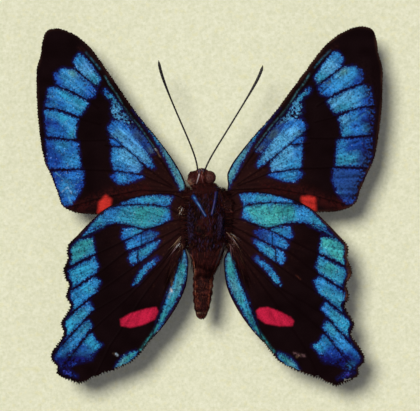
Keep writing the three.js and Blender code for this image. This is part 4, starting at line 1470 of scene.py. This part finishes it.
# Camera, light and floor
LENS_MM = 200
SENSOR_MM = 36
VIEW_WIDTH = PHOTO_WIDTH * MM_PER_PIXEL
VIEW_PLANE = sum(corner.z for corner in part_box("forewing_left")) / 2 / MM
CAMERA_X = (PHOTO_WIDTH / 2 - MIDLINE_PIXEL) * MM_PER_PIXEL
LIGHT_ELEVATION = math.radians(61)
LIGHT_ANGLE = math.radians(24)
LIGHT_STRENGTH = 2.97
LIGHT_COLOUR = (1.0, 0.995, 0.96)
FILL_ELEVATION = math.radians(45)
FILL_STRENGTH = 0.47
FILL_COLOUR = (0.75, 0.77, 1.0)
SKY_STRENGTH = 0.12
SKY_COLOUR = (0.95, 0.98, 1.27, 1)
FLOOR_HALF_WIDTH = 600
FLOOR_DROP = 0.05


def add_light(name, strength, colour, elevation, way):
    """A broad light that shines to the lower right (way 1) or to the upper left (way -1)."""
    light = bpy.data.lights.new(name, "SUN")
    light.energy = strength
    light.color = colour
    light.angle = LIGHT_ANGLE
    lamp = bpy.data.objects.new(name, light)
    level = way * math.cos(elevation) / math.sqrt(2)
    lamp.rotation_euler = Vector((level, -level, -math.sin(elevation))).to_track_quat("-Z", "Y").to_euler()
    bpy.context.scene.collection.objects.link(lamp)
    return light


def set_camera():
    """A long lens straight above the specimen, with the photo's field of view."""
    lens = bpy.data.cameras.new("photo_camera")
    lens.lens = LENS_MM
    lens.sensor_width = SENSOR_MM
    camera = bpy.data.objects.new("photo_camera", lens)
    distance = VIEW_WIDTH * LENS_MM / SENSOR_MM
    camera.location = (CAMERA_X * MM, 0, (VIEW_PLANE + distance) * MM)
    bpy.context.scene.collection.objects.link(camera)
    bpy.context.scene.camera = camera


def set_sky():
    world = bpy.data.worlds.new("studio")
    world.use_nodes = True
    background = world.node_tree.nodes["Background"]
    set_inputs(world.node_tree, background, {"Color": SKY_COLOUR, "Strength": SKY_STRENGTH})
    bpy.context.scene.world = world


def add_floor():
    """A plain pale floor just under the frame."""
    corners = [(-1, -1), (1, -1), (1, 1), (-1, 1)]
    mesh = bpy.data.meshes.new("floor")
    mesh.from_pydata(
        [(x * FLOOR_HALF_WIDTH * MM, y * FLOOR_HALF_WIDTH * MM, -FLOOR_DROP * MM) for x, y in corners],
        [], [(0, 1, 2, 3)])
    mesh.materials.append(floor_material())
    floor = bpy.data.objects.new("floor", mesh)
    bpy.context.scene.collection.objects.link(floor)


bpy.context.scene.view_settings.view_transform = "Standard"
set_camera()
add_light("key_light", LIGHT_STRENGTH, LIGHT_COLOUR, LIGHT_ELEVATION, 1).use_shadow = True
add_light("fill_light", FILL_STRENGTH, FILL_COLOUR, FILL_ELEVATION, -1).use_shadow = False
set_sky()
add_floor()

# Frame, board and pin
wood_along_x = wood_material("stained_wood_level", (0.06, 1, 1))
wood_along_y = wood_material("stained_wood_upright", (1, 0.06, 1))
NODE_MATERIALS = {
    "rail_top": wood_along_x, "rail_bottom": wood_along_x, "rail_left": wood_along_y,
    "rail_right": wood_along_y, "back_panel": hardboard_material(), "mounting_board": paper_material(),
    "pin": pin_material(),
}
for node, material in NODE_MATERIALS.items():
    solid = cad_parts[node].data
    solid.materials.clear()
    solid.materials.append(material)

add_mitre_glue(wood_along_x)

# Butterfly
scale_material = toned_material(
    "wing_scales", roughness=0.6, specular=0.012, grain_per_mm=7.0, grain_range=(0.75, 1.25), bump_mm=0.02)
hair_material = toned_material(
    "insect_hair", roughness=0.6, specular=0.05, grain_per_mm=3.0, grain_range=(0.7, 1.3), bump_mm=0.01)
shell_material = toned_material(
    "insect_shell", roughness=0.45, specular=0.3, grain_per_mm=5.0, grain_range=(0.75, 1.25), bump_mm=0.02)
eye_shell = eye_material()
for seed, node in enumerate(["forewing_left", "forewing_right", "hindwing_left", "hindwing_right"]):
    make_wing(node, -1 if node.endswith("left") else 1, scale_material, 11 + 10 * seed)
surface = specimen_surface()
make_body(surface)
make_head(surface)
add_strokes(surface)
for node in ("antenna_left", "antenna_right"):
    make_antenna(node)
